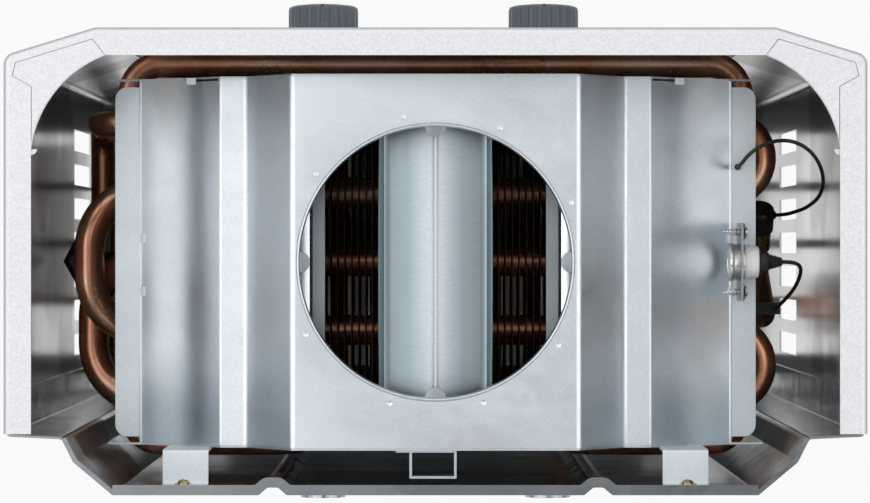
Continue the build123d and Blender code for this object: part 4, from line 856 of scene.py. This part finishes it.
def gas_guides():
    """The strip with its sharp ridge under the flue hole, and the rails and shelves beside it; the rails wear
    painted shade and the shelves painted light.
    """
    low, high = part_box("hood_baffle")
    front, rear, z = low[1] / MM, high[1] / MM, low[2] / MM + 0.4
    half = [(0.35, 4.95), (0.8, 4.6), (2, 4.1), (4, 3.35), (6, 2.7), (9, 1.9), (12, 1.25), (15, 0.75),
            (18, 0.35), (20.3, 0.15), (21.2, 0.5), (23.1, 3.2)]
    profile = [(-x, z + rise) for x, rise in half[::-1]] + [(x, z + rise) for x, rise in half]
    strip = folded_strip(profile, front, rear, SHEET)
    settle(strip, "ridged_strip", "galvanised", ["hood_baffle"], finish="ridged_sheet", smooth=30)
    low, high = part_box("baffle_rails")
    inner, outer, top = high[0] / MM - 11.1, high[0] / MM, high[2] / MM - 0.4
    rails = [folded_strip([(side * (inner + 0.1), top), (side * (inner + 5.0), top),
                           (side * (inner + 5.6), top - 0.6), (side * (inner + 5.6), top - 12)],
                          front, rear, SHEET) for side in (1, -1)]
    # The rails wear the darkened sheet, as painted shade.
    settle(join(*rails), "rail_bands", "galvanised", ["baffle_rails"], finish="dull_shaded_sheet")
    shelves = [folded_strip([(side * (inner + 6.3), top - 1.6), (side * (outer - 0.9), top - 0.3),
                             (side * (outer - 0.4), top - 0.5)], front, rear, 0.6) for side in (1, -1)]
    # The shelves wear the lightened polished sheet, as painted light.
    settle(join(*shelves), "rail_shelves", "galvanised", finish="polished_lit_sheet")


def flue_ring():
    """The flue's collar, with its edge rolled over the hood, its clinched ring and four stops."""
    top, low = HOOD_TOP / MM, HOOD_TOP / MM - COLLAR_DROP
    roll = [(55.42 - 0.42 * math.cos(math.radians(a)), 0.1 + 0.5 * math.sin(math.radians(a)))
            for a in range(0, 181, 20)]
    profile = [(55.0, -COLLAR_DROP)] + roll + [(55.8, 0.02), (55.8, -0.82), (61.8, -0.82), (61.8, -1.6),
                                               (55.8, -1.6), (55.8, -COLLAR_DROP), (55.0, -COLLAR_DROP)]
    ring = turned(profile, (0, HOOD_MID_Y / MM, top), (0, 0, 1), 144)
    for side in (1, -1):
        edit(ring, "FACE")
        bpy.ops.mesh.select_all(action="SELECT")
        bpy.ops.mesh.bisect(plane_co=mm(side * 56.9, 0, 0), plane_no=(side, 0, 0), clear_outer=True,
                            use_fill=True)
        done()
    stops = []
    for angle in (0, 90, 180, 270):
        turn = math.radians(angle)
        stop = add("cylinder", vertices=48, radius=4.4 * MM, depth=1.0 * MM,
                   location=round_flue(STOP_R, turn, (low - 0.5) * MM))
        apply_place(stop)
        edit(stop, "FACE")
        bpy.ops.mesh.select_all(action="SELECT")
        bpy.ops.mesh.bisect(plane_co=round_flue(STOP_TRIM_R, turn),
                            plane_no=(math.cos(turn), math.sin(turn), 0), clear_outer=True, use_fill=True)
        done()
        soften(stop, 0.25, 3, 40)
        stops.append(stop)
    # The stops wear the darkened sheet, as painted shade.
    settle(join(*stops), "flue_stops", "galvanised", finish="dull_shaded_sheet")
    settle(ring, "flue_ring", "galvanised", ["flue_collar"])


def drilled(obj, cutters):
    """Cuts several shapes out of a piece at once."""
    cut(obj, join(*cutters))


def tapping_screw(start, direction, length, head_r, head_h, core=1.9):
    """A self-tapping screw with a washer head, a cross recess and a cone of thread."""
    profile = [(0, -head_h), (0.42 * head_r, -head_h), (0.56 * head_r, -0.86 * head_h),
               (0.62 * head_r, -0.36 * head_h), (0.92 * head_r, -0.28 * head_h), (head_r, -0.14 * head_h),
               (0.97 * head_r, 0), (0.62 * core, 0.02)]
    pitch, place = 1.15, 0.5
    while place < length - 0.6:
        size = core * min(1, (length - place) / (0.62 * length) + 0.08)
        profile += [(0.66 * size, place - 0.36), (size, place), (size, place + 0.1),
                    (0.66 * size, place + 0.42)]
        place += pitch
    profile += [(0.2, length - 0.2), (0, length)]
    body = turned(profile, (0, 0, 0), (0, 0, 1), 28)
    for size in ((1.1 * head_r, 0.75), (0.75, 1.1 * head_r)):
        cut(body, block(mm(0, 0, -head_h), *size, 1.1))
    return aim(body, start, direction)


def strap_fixings():
    """The two yellow screws through the hood's straps."""
    low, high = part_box("strap_screws")
    y, z = low[1] / MM, (low[2] + high[2]) / 2 / MM
    reach = (high[1] - low[1]) / MM
    middle = (high[0] - low[0]) / 2 / MM - 3.6
    screws = [tapping_screw((side * middle, y + 2.0, z), (0, 0.94, -0.34), reach - 2.4, 3.7, 2.1)
              for side in (1, -1)]
    settle(join(*screws), "strap_fixings", "yellow_zinc", ["strap_screws"])


def cover_fixings():
    """The four screws in the casing's sides."""
    low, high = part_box("cover_screws")
    y = (low[1] + high[1]) / 2 / MM
    heights = [(low[2] / MM + 3.6), (high[2] / MM - 3.6)]
    screws = [tapping_screw((side * 170, y, z), (-side, 0, 0), 4.2, 3.6, 1.75)
              for side in (1, -1) for z in heights]
    settle(join(*screws), "cover_fixings", "screw_steel", ["cover_screws"])


def overheat_switch():
    """The switch's crimped cap with its ears, its ceramic body, its screws and the boot on its terminal."""
    low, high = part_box("thermostat")
    x, y, z = low[0] / MM, (low[1] + high[1]) / 2 / MM, (low[2] + high[2]) / 2 / MM
    cap = turned([(0, 0), (7.7, 0), (7.75, 0.3), (7.75, 1.2), (7.4, 1.5), (7.4, 4.2), (7.55, 4.6), (7.9, 4.9),
                  (8.05, 5.3), (7.95, 5.8), (7.6, 6.3), (7.0, 6.55), (6.3, 6.5), (5.9, 6.0), (4.2, 6.1),
                  (2.2, 6.3), (0, 6.35)], (x, y, z), (1, 0, 0), 64)
    ears = add("cylinder", vertices=34, radius=3.8 * MM, depth=0.6 * MM)
    edit(ears)
    for side in (1, -1):
        pick(ears, "verts", lambda p, v: p.y * side > 0)
        bpy.ops.transform.translate(value=mm(0, side * 12.2, 0))
    done()
    soften(ears, 0.15, 2, 50)
    aim(ears, (0, 0, 0), (0, 0, 1))
    ears.rotation_euler = (0, math.pi / 2, 0)
    ears.location = mm(x + 0.7, y, z)
    apply_place(ears)
    notches = []
    for k in range(16):
        angle = 2 * math.pi * (k + 0.5) / 16
        notches.append(add("cylinder", vertices=10, radius=0.35 * MM, depth=1.6 * MM,
                           location=mm(x + 6.5, y + 7.75 * math.cos(angle), z + 7.75 * math.sin(angle)),
                           rotation=(0, math.pi / 2, 0)))
    drilled(cap, notches)
    settle(join(ears, cap), "switch_cap", "screw_steel", ["thermostat"])
    base = turned([(0, 0), (6.6, 0), (6.9, 0.3), (6.9, 2.4), (6.6, 2.6), (6.6, 5.2), (6.2, 5.8), (5.6, 6.0),
                   (0, 6.0)], (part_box("thermostat_base")[1][0] / MM, y, z), (-1, 0, 0), 48)
    settle(base, "switch_body", "ceramic", ["thermostat_base"])
    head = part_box("thermostat_screws")
    reach = (head[1][0] - head[0][0]) / MM
    offset = (head[1][1] - head[0][1]) / 2 / MM - 3.9
    screws = [tapping_screw((head[0][0] / MM + 1.8, y + side * offset, z), (0.985, side * 0.05, 0.16),
                            reach - 1.9, 3.9, 1.7) for side in (1, -1)]
    settle(join(*screws), "switch_fixings", "screw_steel", ["thermostat_screws"])
    boot = [(0, 0), (3.9, 0), (4.4, 0.4), (4.5, 1.0), (4.5, 3.0), (4.2, 3.6), (3.3, 4.4)]
    for k in range(5):
        place, size = 4.7 + k * 0.95, 3.1 - k * 0.26
        boot += [(size - 0.35, place), (size, place + 0.25), (size, place + 0.55), (size - 0.4, place + 0.8)]
    boot += [(1.5, 9.6), (1.2, 9.8), (0, 9.8)]
    boot = turned(boot, (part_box("thermostat_boot")[1][0] / MM, y, z), (-1, 0, 0), 40)
    settle(boot, "switch_boot", "black_rubber", ["thermostat_boot"])


def control_knob(name, node, body):
    """A fluted knob with a domed face, a pointer groove and a skirt."""
    low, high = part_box(node)
    x, z = (low[0] + high[0]) / 2 / MM, (low[2] + high[2]) / 2 / MM
    rear = high[1] / MM
    profile = [(3.1, 0), (18.4, 0), (18.9, 0.4), (18.6, 2.2), (17.9, 3.8), (17.6, 4.2), (17.35, 30.6),
               (17.15, 31.5), (16.7, 32.2), (15.9, 32.7), (14.4, 33.1), (9.0, 33.7), (0, 34), (0, 25),
               (3.1, 25)]
    knob = turned(profile, (0, 0, 0), (0, 0, 1), 96)
    flutes = []
    for k in range(24):
        angle = 2 * math.pi * k / 24
        flutes.append(add("cylinder", vertices=20, radius=1.4 * MM, depth=34 * MM,
                          location=mm(17.9 * math.cos(angle), 17.9 * math.sin(angle), 22)))
    drilled(knob, flutes)
    cut(knob, block(mm(0, 12.4, 34), 1.5, 8.5, 4))
    soften(knob, 0.28, 2, 32)
    knob.matrix_world = Matrix.Translation(Vector(mm(x, rear, z))) @ Matrix.Rotation(math.pi / 2, 4, "X")
    apply_place(knob)
    settle(knob, name, "knob_plastic", [node], body, smooth=30)


def threaded_fitting(name, node, bore, waist):
    """A half-inch threaded end with a hexagon and a stem, under the casing."""
    low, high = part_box(node)
    x, y = (low[0] + high[0]) / 2 / MM, (low[1] + high[1]) / 2 / MM
    foot, top = low[2] / MM, high[2] / MM
    hexagon = FLOOR_Z / MM - 3.5
    body = turned([(bore, 0), (8.8, 0), (9.45, 0.7), (9.45, 21.0), (9.1, 21.4), (9.1, 21.9), (waist, 21.9),
                   (waist, top - foot), (bore, top - foot), (bore, 0)], (x, y, foot), (0, 0, 1), 48)
    nut = add("cylinder", vertices=6, radius=14 * MM, depth=6 * MM, location=mm(x, y, hexagon))
    nut.rotation_euler = (0, 0, math.pi / 6)
    apply_place(nut)
    soften(nut, 0.5, 3, 40)
    ridge = helix([(9.3, 0.2), (10.35, 0.95), (10.35, 1.1), (9.3, 1.85)], PIPE_PITCH, 10, (x, y, foot),
                  (0, 0, 1))
    settle(join(nut, ridge, body), name, "brass", [node])


def sight_ring():
    """The pressed ring that holds the window in the casing's front."""
    low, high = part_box("sight_glass")
    x, z, front = (low[0] + high[0]) / 2 / MM, (low[2] + high[2]) / 2 / MM, FRONT_Y / MM
    ring = turned([(11.2, 0), (15.8, 0), (15.9, 0.3), (15.2, 1.1), (13.8, 1.5), (12.4, 1.2), (11.4, 0.6),
                   (11.2, 0)], (x, front, z), (0, -1, 0), 72)
    settle(ring, "sight_ring", "screw_steel")


finishes = make_finishes()
aim_camera()
dress_nodes()
make_leads()
hood_sheet()
hood_tabs()
gas_guides()
flue_ring()
strap_fixings()
cover_fixings()
overheat_switch()
control_knob("flame_dial", "flame_knob", "flame_control")
control_knob("temperature_dial", "temperature_knob", "temperature_control")
for node, bore, waist in (("gas_inlet", 6, 8.5), ("cold_inlet", 7, 8.5), ("hot_outlet", 5.5, 8)):
    threaded_fitting(node + "_end", node, bore, waist)
sight_ring()
light_the_studio()
make_floor()
bpy.context.scene.view_settings.view_transform = "Standard"
